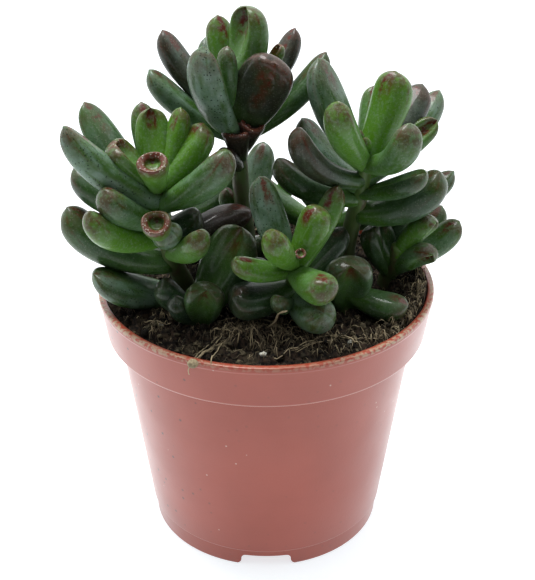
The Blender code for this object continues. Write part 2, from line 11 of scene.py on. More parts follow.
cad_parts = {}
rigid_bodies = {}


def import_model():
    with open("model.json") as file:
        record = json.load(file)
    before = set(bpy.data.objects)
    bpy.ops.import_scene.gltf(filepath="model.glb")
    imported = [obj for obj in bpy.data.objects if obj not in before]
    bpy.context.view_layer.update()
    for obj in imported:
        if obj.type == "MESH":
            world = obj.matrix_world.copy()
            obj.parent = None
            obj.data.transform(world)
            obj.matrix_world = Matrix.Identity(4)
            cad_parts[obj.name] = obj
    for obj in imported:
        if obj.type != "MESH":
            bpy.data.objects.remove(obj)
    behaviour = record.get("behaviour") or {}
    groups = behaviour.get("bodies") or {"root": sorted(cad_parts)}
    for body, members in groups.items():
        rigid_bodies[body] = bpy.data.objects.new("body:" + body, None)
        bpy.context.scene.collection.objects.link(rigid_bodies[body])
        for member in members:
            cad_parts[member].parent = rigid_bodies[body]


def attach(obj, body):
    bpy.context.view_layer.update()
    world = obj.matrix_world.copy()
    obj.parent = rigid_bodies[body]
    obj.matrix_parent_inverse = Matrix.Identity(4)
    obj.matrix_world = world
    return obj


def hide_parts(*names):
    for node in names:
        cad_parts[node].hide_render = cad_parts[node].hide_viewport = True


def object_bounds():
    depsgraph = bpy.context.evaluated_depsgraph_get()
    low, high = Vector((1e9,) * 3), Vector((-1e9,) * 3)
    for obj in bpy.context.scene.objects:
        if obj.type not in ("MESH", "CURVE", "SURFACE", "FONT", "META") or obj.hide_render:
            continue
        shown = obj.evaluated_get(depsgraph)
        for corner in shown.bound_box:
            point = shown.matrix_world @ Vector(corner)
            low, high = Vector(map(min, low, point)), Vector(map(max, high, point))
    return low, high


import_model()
cad_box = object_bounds()

# The camera.
# It stands a little over a third of a metre in front of the pot and looks down on the leaves, with a
# long lens, the way small plants are photographed on a white table.
MM = 0.001
CAMERA_PLACE = (0.0, -343.0, 268.0)
CAMERA_DIP = 28.7
CAMERA_LENS = 76.8
CAMERA_SHIFT = 0.0024


def in_scene(name, data):
    thing = bpy.data.objects.new(name, data)
    bpy.context.scene.collection.objects.link(thing)
    return thing


lens = bpy.data.cameras.new("camera")
lens.sensor_width = 36.0
lens.lens = CAMERA_LENS
lens.shift_x = CAMERA_SHIFT
lens.clip_start = 0.01
lens.clip_end = 50.0
camera = in_scene("camera", lens)
camera.location = [v * MM for v in CAMERA_PLACE]
camera.rotation_euler = (math.radians(90.0 - CAMERA_DIP), 0.0, 0.0)
bpy.context.scene.camera = camera

# The white table and the studio.
# A pale sheet, lit from below, runs out behind the pot. White walls light it from behind, from both sides
# and from above, so that the pot's flanks and the leaves' edges turn pale. The camera's side is dark.
TABLE_HALF = 4.0
TABLE_GREY = (0.5, 0.5, 0.5)
TABLE_GLOW = 0.74
TABLE_GLOW_IN_FRONT = 0.1
TABLE_FADE = (-0.4, -0.06)
WALL_WHITE = (0.965, 0.985, 1.0)
WALL_FADE = (-0.62, 0.4)
DARK_FRONT = 0.03
BRIGHT_BACK = 1.45
TOP_FADE = (0.35, 0.95)
BRIGHT_TOP = 0.8
SOFTBOX_PLACE = (-0.2, 0.15, 0.95)
SOFTBOX_SIZE = 0.45
SOFTBOX_WATTS = 7.5


def material_of(name):
    material = bpy.data.materials.new(name)
    material.use_nodes = True
    return material, material.node_tree.nodes["Principled BSDF"]


def put(near, kind, **settings):
    """Adds a shader node beside another node or socket, and sets its properties."""
    node = near.id_data.nodes.new(kind)
    for name, value in settings.items():
        setattr(node, name, value)
    return node


def feed(value, socket):
    """Gives a socket a value: what another node gives, or a plain number or colour."""
    if isinstance(value, bpy.types.NodeSocket):
        socket.id_data.links.new(value, socket)
    else:
        socket.default_value = (*value, 1.0) if socket.type == "RGBA" else value


def dress(node, values):
    """Gives values to several of a node's sockets."""
    for name, value in values.items():
        feed(value, node.inputs[name])


def sums(operation, a, b=0.0, clamp=False):
    node = put(a, "ShaderNodeMath", operation=operation, use_clamp=clamp)
    feed(a, node.inputs[0])
    feed(b, node.inputs[1])
    return node.outputs[0]


def plus(a, b, clamp=False):
    return sums("ADD", a, b, clamp)


def between(value, low, high, out_low=0.0, out_high=1.0):
    """Turns a value's smooth way from low to high into one from out_low to out_high."""
    node = put(value, "ShaderNodeMapRange", interpolation_type="SMOOTHSTEP")
    limits = {"Value": value, "From Min": low, "From Max": high, "To Min": out_low, "To Max": out_high}
    dress(node, limits)
    return node.outputs["Result"]


def object_place(near):
    return put(near, "ShaderNodeTexCoord").outputs["Object"]


def xyz_of(place):
    node = put(place, "ShaderNodeSeparateXYZ")
    feed(place, node.inputs[0])
    return node.outputs


world = bpy.data.worlds.new("white studio")
world.use_nodes = True
bpy.context.scene.world = world
sky = world.node_tree
_, sky_depth, sky_height = xyz_of(put(sky, "ShaderNodeTexCoord").outputs["Generated"])
round_walls = between(sky_depth, *WALL_FADE, DARK_FRONT, BRIGHT_BACK)
from_above = between(sky_height, *TOP_FADE, 0.0, BRIGHT_TOP)
wall_light = {"Color": WALL_WHITE, "Strength": plus(round_walls, from_above)}
dress(sky.nodes["Background"], wall_light)

lamp = bpy.data.lights.new("overhead_softbox", "AREA")
lamp.shape = "DISK"
lamp.size = SOFTBOX_SIZE
lamp.energy = SOFTBOX_WATTS
softbox = in_scene("overhead_softbox", lamp)
softbox.location = SOFTBOX_PLACE
softbox.rotation_euler = Vector(SOFTBOX_PLACE).to_track_quat("Z", "Y").to_euler()

table_mesh = bpy.data.meshes.new("table")
corners = [(x * TABLE_HALF, y * TABLE_HALF, 0.0) for x, y in ((-1, -1), (1, -1), (1, 1), (-1, 1))]
table_mesh.from_pydata(corners, [], [(0, 1, 2, 3)])
table = in_scene("table", table_mesh)
paper, paper_shader = material_of("white table")
paper_depth = xyz_of(object_place(paper_shader))[1]
paper_look = {
    "Base Color": TABLE_GREY,
    "Roughness": 0.7,
    "Specular IOR Level": 0.2,
    "Emission Color": (0.88, 0.96, 1.0),
    "Emission Strength": between(paper_depth, *TABLE_FADE, TABLE_GLOW_IN_FRONT, TABLE_GLOW),
}
dress(paper_shader, paper_look)
table_mesh.materials.append(paper)

bpy.context.scene.view_settings.view_transform = "Standard"

# The pot.
# A thin-walled nursery pot of terracotta-coloured polypropylene, moulded in one shot: a deep collar with
# a flat lip, a tapered body, a floor with drain holes, and a foot ring with four notches for water.
RIM_RADIUS = 52.5
POT_HEIGHT = 84.0
LIP_WIDTH = 2.0
COLLAR_HEIGHT = 14.3
COLLAR_FOOT_RADIUS = 50.5
COLLAR_WALL = 1.6
COLLAR_STEP_RISE = 1.5
SHOULDER_RADIUS = 46.8
FOOT_RADIUS = 37.8
FOOT_HEIGHT = 6.0
POT_WALL = 1.2
FLOOR_UNDERSIDE = 4.3
FLOOR_THICKNESS = 1.5
FOOT_WIDTH = 2.6
POT_SIDES = 224
NOTCH_COUNT = 4
NOTCH_WIDTH = 15.8
NOTCH_HEIGHT = 4.1
NOTCH_CORNER = 1.5
NOTCH_FLARE = 2.3
NOTCH_SINK = 0.05
CORNER_STEPS = 7
DRAIN_COUNT = 6
DRAIN_RADIUS = 4.0
DRAIN_CIRCLE = 22.0
DRAIN_SIDES = 40
DRAIN_CUT = 6.0
SHARP_EDGE = 40.0


def wall_radius(height):
    """The radius of the pot's inner wall."""
    share = height / (POT_HEIGHT - COLLAR_HEIGHT)
    return FOOT_RADIUS + (SHOULDER_RADIUS - FOOT_RADIUS) * share - POT_WALL


def softened(corners, steps=5):
    """Rounds each corner of an outline. A corner is (radius, height, how far back the rounding starts)."""
    line = []
    for k, (x, z, back) in enumerate(corners):
        here = np.array([x, z])
        if k in (0, len(corners) - 1) or not back:
            line.append(tuple(here))
            continue
        before = np.array(corners[k - 1][:2]) - here
        after = np.array(corners[k + 1][:2]) - here
        start = here + before / np.linalg.norm(before) * back
        end = here + after / np.linalg.norm(after) * back
        for t in np.linspace(0.0, 1.0, steps):
            line.append(tuple(start * (1 - t) ** 2 + 2 * here * t * (1 - t) + end * t**2))
    return line


def mesh_object(name, points, faces):
    """A smooth object in the scene, from points in millimetres."""
    mesh = bpy.data.meshes.new(name)
    mesh.from_pydata([tuple(p) for p in np.asarray(points) * MM], [], faces)
    mesh.validate()
    mesh.update()
    mesh.shade_smooth()
    return in_scene(name, mesh)


def ring_faces(first, start, sides, rings, last, turned=False):
    """The faces of a closed skin of rings of points, with a single point at each of its ends."""
    faces = []
    end = start + (rings - 1) * sides
    for k in range(sides):
        n = (k + 1) % sides
        faces.append((first, start + n, start + k))
        for a in range(start, end, sides):
            faces.append((a + k, a + n, a + sides + n, a + sides + k))
        faces.append((end + k, end + n, last))
    return [(face[0], *face[:0:-1]) for face in faces] if turned else faces


def lathed(name, line, sides):
    """A closed turned solid. Its outline starts and ends on the axis."""
    angles = np.arange(sides) * 2 * math.pi / sides
    points = []
    for radius, height in line[1:-1]:
        ring = np.column_stack([radius * np.cos(angles), radius * np.sin(angles), np.full(sides, height)])
        points.extend(ring)
    points.extend([(0.0, 0.0, line[0][1]), (0.0, 0.0, line[-1][1])])
    last = len(points) - 1
    return mesh_object(name, points, ring_faces(last - 1, 0, sides, len(line) - 2, last, True))


def notch_solid():
    """What a notch cuts away: rounded above, and flared where its sides meet the table."""
    half = NOTCH_WIDTH / 2
    foot = half + NOTCH_FLARE
    side = [(-foot, -1.0)]
    turns = np.linspace(0.0, math.pi / 2, CORNER_STEPS)
    for t in turns:
        side.append((NOTCH_FLARE * math.sin(t) - foot, NOTCH_FLARE * (1 - math.cos(t)) - NOTCH_SINK))
    for t in turns:
        rounded = NOTCH_HEIGHT + NOTCH_CORNER * (math.sin(t) - 1)
        side.append((NOTCH_CORNER * (1 - math.cos(t)) - half, rounded))
    outline = side + [(-y, z) for y, z in reversed(side)]
    count = len(outline)
    points = [(x, y, z) for x in (-1.5 * FOOT_WIDTH, 1.5 * FOOT_WIDTH) for y, z in outline]
    faces = [tuple(range(count)), tuple(range(2 * count - 1, count - 1, -1))]
    for k in range(count):
        n = (k + 1) % count
        faces.append((k, k + count, n + count, n))
    return mesh_object("notch", points, faces)


def drain_solid():
    plug = bmesh.new()
    radius = DRAIN_RADIUS * MM
    sizes = {"radius1": radius, "radius2": radius, "depth": DRAIN_CUT * MM}
    bmesh.ops.create_cone(plug, cap_ends=True, segments=DRAIN_SIDES, **sizes)
    mesh = bpy.data.meshes.new("drain")
    plug.to_mesh(mesh)
    plug.free()
    return in_scene("drain", mesh)


def cut_at(solid, radius, angle, height, turn):
    """Sets a solid among those that are cut out of the pot."""
    bpy.context.scene.collection.objects.unlink(solid)
    pot_openings.objects.link(solid)
    solid.location = (radius * MM * math.cos(angle), radius * MM * math.sin(angle), height * MM)
    solid.rotation_euler = (0.0, 0.0, turn)


pot_floor = FLOOR_UNDERSIDE + FLOOR_THICKNESS
collar_foot = POT_HEIGHT - COLLAR_HEIGHT
lip_inner = RIM_RADIUS - LIP_WIDTH
pot_corners = [
    (0.0, pot_floor, 0.0),
    (wall_radius(pot_floor), pot_floor, 1.4),
    (wall_radius(collar_foot), collar_foot, 0.7),
    (COLLAR_FOOT_RADIUS - COLLAR_WALL, collar_foot + COLLAR_STEP_RISE, 0.7),
    (lip_inner, POT_HEIGHT, 0.45),
    (RIM_RADIUS, POT_HEIGHT, 0.6),
    (RIM_RADIUS, POT_HEIGHT - 1.7, 0.3),
    (RIM_RADIUS - 0.25, POT_HEIGHT - 2.1, 0.2),
    (COLLAR_FOOT_RADIUS, collar_foot + 0.45, 0.2),
    (COLLAR_FOOT_RADIUS - 0.25, collar_foot, 0.25),
    (SHOULDER_RADIUS + 0.1, collar_foot, 0.25),
    (SHOULDER_RADIUS, collar_foot - 0.6, 0.3),
    (FOOT_RADIUS + 0.6, FOOT_HEIGHT + 0.5, 0.3),
    (FOOT_RADIUS, FOOT_HEIGHT, 0.25),
    (FOOT_RADIUS - 0.4, 0.0, 0.5),
    (FOOT_RADIUS - FOOT_WIDTH, 0.0, 0.3),
    (FOOT_RADIUS - FOOT_WIDTH, FLOOR_UNDERSIDE, 0.4),
    (0.0, FLOOR_UNDERSIDE, 0.0),
]
pot = lathed("nursery_pot", softened(pot_corners), POT_SIDES)
pot_openings = bpy.data.collections.new("pot_openings")
bpy.context.scene.collection.children.link(pot_openings)
for k in range(NOTCH_COUNT):
    angle = 2 * math.pi * k / NOTCH_COUNT
    cut_at(notch_solid(), FOOT_RADIUS - FOOT_WIDTH / 2, angle, 0.0, angle)
for k in range(DRAIN_COUNT):
    angle = 2 * math.pi * (k + 0.5) / DRAIN_COUNT
    cut_at(drain_solid(), DRAIN_CIRCLE, angle, pot_floor - 0.7, 0.0)
cut = pot.modifiers.new("openings", "BOOLEAN")
cut.operation = "DIFFERENCE"
cut.operand_type = "COLLECTION"
cut.collection = pot_openings
cut_mesh = bpy.data.meshes.new_from_object(pot.evaluated_get(bpy.context.evaluated_depsgraph_get()))
pot.modifiers.clear()
pot.data = cut_mesh
for cutter in list(pot_openings.objects):
    bpy.data.objects.remove(cutter)
bpy.data.collections.remove(pot_openings)
pot.data.set_sharp_from_angle(angle=math.radians(SHARP_EDGE))


def times(first, *others, clamp=False):
    """Multiplies values with one another. Only the last product is clamped."""
    for k, other in enumerate(others, 1):
        first = sums("MULTIPLY", first, other, clamp and k == len(others))
    return first


def tint(share, low, high):
    """Mixes two colours."""
    node = put(share, "ShaderNodeMix", data_type="RGBA")
    for k, value in ((0, share), (6, low), (7, high)):
        feed(value, node.inputs[k])
    return node.outputs[2]


def cloudy(place, scale, detail=3.0, stretch=None):
    """A soft noise from 0 to 1. Stretch squeezes or draws it out along each axis."""
    if stretch:
        mapping = put(place, "ShaderNodeMapping")
        dress(mapping, {"Vector": place, "Scale": stretch})
        place = mapping.outputs[0]
    node = put(place, "ShaderNodeTexNoise")
    dress(node, {"Vector": place, "Scale": scale, "Detail": detail})
    return node.outputs["Fac"]


def dots(place, scale, size, share):
    """Small round dots, of which only a share of the possible ones is there."""
    node = put(place, "ShaderNodeTexVoronoi")
    dress(node, {"Vector": place, "Scale": scale})
    cells = put(place, "ShaderNodeSeparateColor")
    feed(node.outputs["Color"], cells.inputs[0])
    chosen = between(cells.outputs[0], share, share + 0.02, 1.0, 0.0)
    return times(between(node.outputs["Distance"], size, size * 0.6), chosen)


def axis_distance(place):
    """How far a place lies from the upright axis of the pot."""
    level = put(place, "ShaderNodeVectorMath", operation="MULTIPLY")
    feed(place, level.inputs[0])
    feed((1.0, 1.0, 0.0), level.inputs[1])
    reach = put(place, "ShaderNodeVectorMath", operation="LENGTH")
    feed(level.outputs[0], reach.inputs[0])
    return reach.outputs["Value"]


def relief(shader, height, distance, strength):
    """Gives a material a fine relief. The distance is in metres."""
    skin = put(shader, "ShaderNodeBump")
    dress(skin, {"Height": height, "Distance": distance, "Strength": strength})
    feed(skin.outputs[0], shader.inputs["Normal"])


terracotta, clay = material_of("terracotta polypropylene")
where = object_place(clay)
sideways, _, height = xyz_of(where)
from_axis = axis_distance(where)
patch = cloudy(where, 38.0, 4.0)
colour = tint(between(patch, 0.3, 0.7), (0.325, 0.05, 0.024), (0.37, 0.062, 0.033))
outer_lip = times(between(height, 0.0824, 0.0833), between(from_axis, 0.0509, 0.0516))
flank = between(sums("ABSOLUTE", sideways), 0.006, 0.04, 0.35, 1.0)
dust_patch = between(cloudy(where, 750.0, 6.0), 0.42, 0.56)
dust = times(outer_lip, dust_patch, flank)
colour = tint(times(dust, 0.85), colour, (0.43, 0.33, 0.22))
# A thin paler line along the collar's lower edge: a lighter worn edge, with a painted highlight where the
# edge's rounding catches the light.
worn_edge_and_highlight = times(between(height, 0.0695, 0.0699), between(height, 0.0705, 0.0701))
worn_edge_and_highlight = times(worn_edge_and_highlight, between(from_axis, 0.0485, 0.049), 0.4)
colour = tint(worn_edge_and_highlight, colour, (0.6, 0.33, 0.28))
# The inner wall between the peat and the lip is painted darker in patches.
inner_lip = times(between(from_axis, 0.0512, 0.0504), between(height, 0.078, 0.081))
dark_inner_patch = between(cloudy(where, 120.0, 5.0), 0.4, 0.6)
colour = tint(times(inner_lip, dark_inner_patch), colour, (0.1, 0.05, 0.035))
left_side = between(sideways, 0.0, -0.05)
speck = times(dots(where, 340.0, 0.2, 0.26), plus(left_side, 0.15))
colour = tint(speck, colour, (0.04, 0.028, 0.02))
pale_speck = times(dots(where, 330.0, 0.12, 0.1), 0.5)
colour = tint(pale_speck, colour, (0.62, 0.5, 0.42))
dull_patch = between(cloudy(where, 90.0, 4.0), 0.3, 0.7, 0.36, 0.46)
clay_look = {
    "Base Color": colour,
    "Roughness": plus(dull_patch, times(dust, 0.4)),
    "Specular IOR Level": 0.15,
    "Coat Weight": 0.9,
    "Coat Roughness": 0.28,
}
dress(clay, clay_look)
level_grain = times(cloudy(where, 120.0, 2.0, (1, 1, 6)), 0.8)
grain = plus(cloudy(where, 1500.0, 2.0), level_grain)
relief(clay, plus(grain, times(dust, 2.0)), 0.00006, 0.6)
pot.data.materials.clear()
pot.data.materials.append(terracotta)
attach(pot, "root")
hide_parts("pot")

# The peat.
# A root-bound plug of damp peat fills the pot. Its top is a few millimetres under the lip, crumbly,
# mounded in front of the stems and heaped against the rim on the right.
CLEARANCE = 0.3
SOIL_TOP = 79.0
LOOSE_DEPTH = 2.4
SOIL_RELIEF = 1.3
LUMPS_PER_METRE = 90.0
CRUMBS_PER_METRE = 260.0
CLUMP_RELIEF = 2.2
CLUMPS_PER_METRE = 340.0
HEAP_RING = 49.5
HEAP_WIDTH = 8.0
HEAP_MIDDLE = -4.0
HEAP_ARC = 26.0
HEAP_HEIGHT = 4.6
MOUND_RING = 33.0
MOUND_SPREAD = 9.0
MOUND_HEIGHT = 3.4
FRINGE_START = 46.5
FRINGE_SLOPE = 0.25
PEAT_SIDES = 400
PEAT_RINGS = 104
PEAT_RING_SPREAD = 0.85
PEAT_EDGE = 50.1


def peat_height(x, y):
    """How high the peat stands at a place, in millimetres."""
    spot = Vector((x, y, SOIL_TOP)) * MM
    bumps = noise.noise(spot * LUMPS_PER_METRE) + noise.noise(spot * CRUMBS_PER_METRE) / 2
    clumps = noise.fractal(spot * CLUMPS_PER_METRE, 0.6, 2.1, 4)
    ring = math.hypot(x, y)
    turn = math.degrees(math.atan2(y, x))
    heap = math.exp(-(((ring - HEAP_RING) / HEAP_WIDTH) ** 2) - ((turn - HEAP_MIDDLE) / HEAP_ARC) ** 2)
    mound = max(-y / max(ring, 1.0), 0.0) * math.exp(-(((ring - MOUND_RING) / MOUND_SPREAD) ** 2))
    loose = LOOSE_DEPTH + SOIL_RELIEF * bumps + CLUMP_RELIEF * clumps
    fringe = max(ring - FRINGE_START, 0.0) * FRINGE_SLOPE
    return SOIL_TOP + loose + HEAP_HEIGHT * heap + MOUND_HEIGHT * mound - fringe


def peat_rings():
    """The plug's points and faces: rings from the middle of its top to the wall, and down to its base."""
    turns = np.arange(PEAT_SIDES) * 2 * math.pi / PEAT_SIDES
    points = [(0.0, 0.0, peat_height(0.0, 0.0))]
    for k in range(1, PEAT_RINGS + 1):
        radius = PEAT_EDGE * (k / PEAT_RINGS) ** PEAT_RING_SPREAD
        for angle in turns:
            x, y = radius * math.cos(angle), radius * math.sin(angle)
            points.append((x, y, peat_height(x, y)))
    inner_floor = pot_floor + CLEARANCE
    sides = [
        (PEAT_EDGE - 0.9, collar_foot + 2.0),
        (wall_radius(collar_foot) - CLEARANCE, collar_foot + 0.5),
        (wall_radius(inner_floor + 1.5) - CLEARANCE, inner_floor + 1.5),
        (wall_radius(inner_floor) - 1.6, inner_floor),
    ]
    for radius, level in sides:
        for angle in turns:
            points.append((radius * math.cos(angle), radius * math.sin(angle), level))
    points.append((0.0, 0.0, inner_floor))
    return points, ring_faces(0, 1, PEAT_SIDES, PEAT_RINGS + len(sides), len(points) - 1, True)


peat = mesh_object("peat_plug", *peat_rings())
peat_look, bog = material_of("damp peat")
where = object_place(bog)
crumb = cloudy(where, 700.0, 5.0)
lump = cloudy(where, 190.0, 5.0)
colour = tint(between(crumb, 0.38, 0.66), (0.004, 0.003, 0.0025), (0.045, 0.029, 0.019))
colour = tint(between(lump, 0.55, 0.68, 0.0, 0.7), colour, (0.075, 0.058, 0.036))
shaded_middle = between(axis_distance(where), 0.036, 0.027, 0.0, 0.75)
colour = tint(shaded_middle, colour, (0.003, 0.0025, 0.002))
dress(bog, {"Base Color": colour, "Roughness": 0.92, "Specular IOR Level": 0.2})
relief(bog, plus(crumb, lump), 0.0006, 0.9)
peat.data.materials.append(peat_look)
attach(peat, "root")
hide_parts("soil")

# Loose peat.
# Crumbs of peat, from half a millimetre to two across, lie all over the plug, a little sunk into it. They
# are rough, and some are paler than others.
CRUMB_COUNT = 1500
CRUMB_SIZES = (0.3, 1.15)
CRUMB_SHARES = (0.6, 0.8, 1.0)
CRUMB_EDGE = 48.6
CRUMB_RISE = 0.35
SMALL_LUMP = 0.45

dice = random.Random(11)


def in_pot(edge):
    """A random place on the peat."""
    radius = edge * math.sqrt(dice.random())
    angle = dice.uniform(0.0, 2 * math.pi)
    return radius * math.cos(angle), radius * math.sin(angle)


def lump_of(x, y, size, rise, tone):
    """Adds a lump to the points and faces at hand: a ball whose points are pushed in and out."""
    centre = (x, y, peat_height(x, y) + size * rise)
    ball = bmesh.new()
    bmesh.ops.create_icosphere(ball, subdivisions=1 if size < SMALL_LUMP else 2, radius=1.0)
    shift = Vector((dice.uniform(-9, 9), dice.uniform(-9, 9), dice.uniform(-9, 9)))
    squeeze = (dice.uniform(0.75, 1.3), dice.uniform(0.75, 1.3), dice.uniform(0.55, 0.9))
    start = len(points)
    for vertex in ball.verts:
        push = 1.0 + 0.6 * noise.noise(vertex.co * 1.5 + shift) + 0.45 * noise.noise(vertex.co * 4.0 - shift)
        points.append([vertex.co[i] * push * size * squeeze[i] + centre[i] for i in range(3)])
        tones.append(tone)
    for face in ball.faces:
        faces.append(tuple(start + v.index for v in face.verts))
    ball.free()


def set_values(thing, name, values):
    """Stores one number for each point of a mesh, which the material reads."""
    attribute = thing.data.attributes.new(name, "FLOAT", "POINT")
    attribute.data.foreach_set("value", np.asarray(values, np.float32))


def own(near, name):
    """The number that is stored for each point of a mesh."""
    return put(near, "ShaderNodeAttribute", attribute_name=name).outputs["Fac"]


points, faces, tones = [], [], []
for _ in range(CRUMB_COUNT):
    x, y = in_pot(CRUMB_EDGE)
    size = dice.uniform(*CRUMB_SIZES) * dice.choice(CRUMB_SHARES)
    lump_of(x, y, size, CRUMB_RISE, dice.random() ** 3)
crumbs = mesh_object("peat_crumbs", points, faces)
set_values(crumbs, "tone", tones)
crumb_look, bog = material_of("peat crumb")
colour = tint(own(bog, "tone"), (0.009, 0.007, 0.005), (0.17, 0.14, 0.085))
dark_patch = between(cloudy(object_place(bog), 1300.0, 4.0), 0.4, 0.7, 0.0, 0.7)
colour = tint(dark_patch, colour, (0.008, 0.006, 0.005))
dress(bog, {"Base Color": colour, "Roughness": 0.9, "Specular IOR Level": 0.2})
crumbs.data.materials.append(crumb_look)
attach(crumbs, "root")

# Grit.
# A few grains of perlite and lime lie between the crumbs, white and rough. Each larger one is given by its
# place and its size, and the smaller ones lie anywhere.
LARGE_GRAINS = (
    (-32.0, -24.5, 1.1),
    (-31.0, -25.6, 0.7),
    (-0.9, -45.0, 1.0),
    (24.3, -36.0, 0.9),
    (-6.4, -35.6, 0.5),
    (14.0, 38.0, 0.9),
)
SMALL_GRAIN_COUNT = 26
SMALL_GRAIN_SIZES = (0.2, 0.4)
GRAIN_EDGE = 48.0
GRAIN_RISE = 0.5

points, faces, tones = [], [], []
for x, y, size in LARGE_GRAINS:
    lump_of(x, y, size, GRAIN_RISE, 1.0)
for _ in range(SMALL_GRAIN_COUNT):
    x, y = in_pot(GRAIN_EDGE)
    lump_of(x, y, dice.uniform(*SMALL_GRAIN_SIZES), GRAIN_RISE, 1.0)
grit = mesh_object("white_grit", points, faces)
grit_look, stone = material_of("perlite")
pale_patch = between(cloudy(object_place(stone), 1500.0, 4.0), 0.35, 0.65)
colour = tint(pale_patch, (0.36, 0.33, 0.25), (0.66, 0.66, 0.58))
dress(stone, {"Base Color": colour, "Roughness": 0.85})
grit.data.materials.append(grit_look)
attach(grit, "root")

# Roots and fibres.
# Fine pale roots and threads of peat moss lie on the plug in every direction, thinly between the stems and
# in tufts in front of them and along the rim. Each one dips into the peat at both ends.
FIBRE_COUNT = 2300
FIBRE_SIDES = 4
FIBRE_EDGE = 48.5
FIBRE_LENGTHS = (1.5, 5.5)
FIBRE_LIFTS = (0.1, 1.2)
FIBRE_RADII = (0.06, 0.15)
THIN_MIDDLE = 27.0
THIN_SHARE = 0.7
WANDER_EDGE = 49.8
WANDER_DIP = 0.25
TUFT_EDGE = 49.4
TUFT_RADII = (0.07, 0.17)

# A tuft is how many threads it has, its middle, how far it spreads to the side and in depth, how long its
# threads are, how high they rise, and how pale they are.
TUFTS = [
    (230, (-1.5, -33.0), (6.0, 3.5), (2.0, 7.0), 3.2, 0.9),
    (110, (-9.5, -33.0), (2.5, 2.5), (2.0, 6.0), 2.6, 1.6),
    (150, (15.0, -36.5), (5.5, 2.2), (2.0, 6.0), 2.0, 1.5),
    (80, (-32.0, -25.0), (1.8, 1.8), (2.0, 4.5), 2.2, 1.8),
    (90, (-18.0, -38.0), (6.0, 3.0), (2.0, 5.0), 1.8, 0.7),
]
RIM_TUFT_RING = 47.4
RIM_TUFT_DEGREES = range(-50, 31, 4)


def along_line(line, beside):
    """The direction ahead at each point of a line, and two directions across it."""
    ahead = np.gradient(line, axis=0)
    ahead /= np.linalg.norm(ahead, axis=1)[:, None]
    flat = np.cross(ahead, beside)
    flat /= np.linalg.norm(flat, axis=1)[:, None]
    return ahead, flat, np.cross(ahead, flat)


def strand(line, radius, tone):
    """Adds a thin round strand with pointed ends to the points and faces at hand."""
    line = np.asarray(line, float)
    _, flat, over = along_line(line, (0.31, 0.17, 0.93))
    start = len(points)
    points.append(line[0])
    for k in range(1, len(line) - 1):
        thick = radius * min(1.0, 0.45 + 0.35 * min(k, len(line) - 1 - k))
        for s in range(FIBRE_SIDES):
            turn = 2 * math.pi * s / FIBRE_SIDES
            points.append(line[k] + (flat[k] * math.cos(turn) + over[k] * math.sin(turn)) * thick)
    points.append(line[-1])
    tones.extend([tone] * (len(points) - start))
    faces.extend(ring_faces(start, start + 1, FIBRE_SIDES, len(line) - 2, len(points) - 1))


def kept_in(x, y, edge):
    """Draws a place in to the edge of the peat."""
    out = math.hypot(x, y)
    return (x * edge / out, y * edge / out) if out > edge else (x, y)


def wandering(x, y, heading, length, lift, steps):
    """A line that wanders over the peat and dips into it at both ends."""
    line = []
    bend = dice.uniform(-0.35, 0.35)
    for k in range(steps):
        rise = lift * math.sin(math.pi * (k / (steps - 1))) - WANDER_DIP
        line.append((x, y, peat_height(x, y) + rise))
        heading += bend + dice.uniform(-0.3, 0.3)
        x += math.cos(heading) * length / steps
        y += math.sin(heading) * length / steps
        x, y = kept_in(x, y, WANDER_EDGE)
    return line


def tuft(count, middle, spread, lengths, lift, pale):
    """Short, nearly straight threads that lie crosswise round a place."""
    for _ in range(count):
        x = middle[0] + dice.gauss(0.0, spread[0])
        y = middle[1] + dice.gauss(0.0, spread[1])
        x, y = kept_in(x, y, TUFT_EDGE)
        heading = dice.uniform(0, 2 * math.pi)
        line = wandering(x, y, heading, dice.uniform(*lengths), dice.uniform(0.2, lift), 6)
        tone = min(pale * dice.random() ** 1.5, 1.0)
        strand(line, dice.uniform(*TUFT_RADII), tone)


points, faces, tones = [], [], []
for _ in range(FIBRE_COUNT):
    x, y = in_pot(FIBRE_EDGE)
    if math.hypot(x, y) < THIN_MIDDLE and dice.random() < THIN_SHARE:
        continue
    heading = dice.uniform(0, 2 * math.pi)
    line = wandering(x, y, heading, dice.uniform(*FIBRE_LENGTHS), dice.uniform(*FIBRE_LIFTS), 5)
    strand(line, dice.uniform(*FIBRE_RADII), dice.random() ** 3)
for degrees in RIM_TUFT_DEGREES:
    turn = math.radians(degrees)
    middle = (RIM_TUFT_RING * math.cos(turn), RIM_TUFT_RING * math.sin(turn))
    TUFTS.append((20, middle, (1.8, 1.8), (2.0, 5.5), 3.6, 1.7))
for row in TUFTS:
    tuft(*row)
fibres = mesh_object("peat_fibres", points, faces)
set_values(fibres, "tone", tones)
fibre_look, thread = material_of("root fibre")
colour = tint(own(thread, "tone"), (0.018, 0.013, 0.008), (0.46, 0.37, 0.23))
dark_patch = between(cloudy(object_place(thread), 500.0, 3.0), 0.42, 0.7, 0.0, 0.5)
colour = tint(dark_patch, colour, (0.05, 0.038, 0.022))
dress(thread, {"Base Color": colour, "Roughness": 0.75, "Specular IOR Level": 0.3})
fibres.data.materials.append(fibre_look)
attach(fibres, "root")

# The long roots.
# A few pale roots lie free on the peat. One bundle runs to the front of the lip, where it ends in a little
# coiled ball with a tail, and a twig and some bits of straw stick up out of the peat.

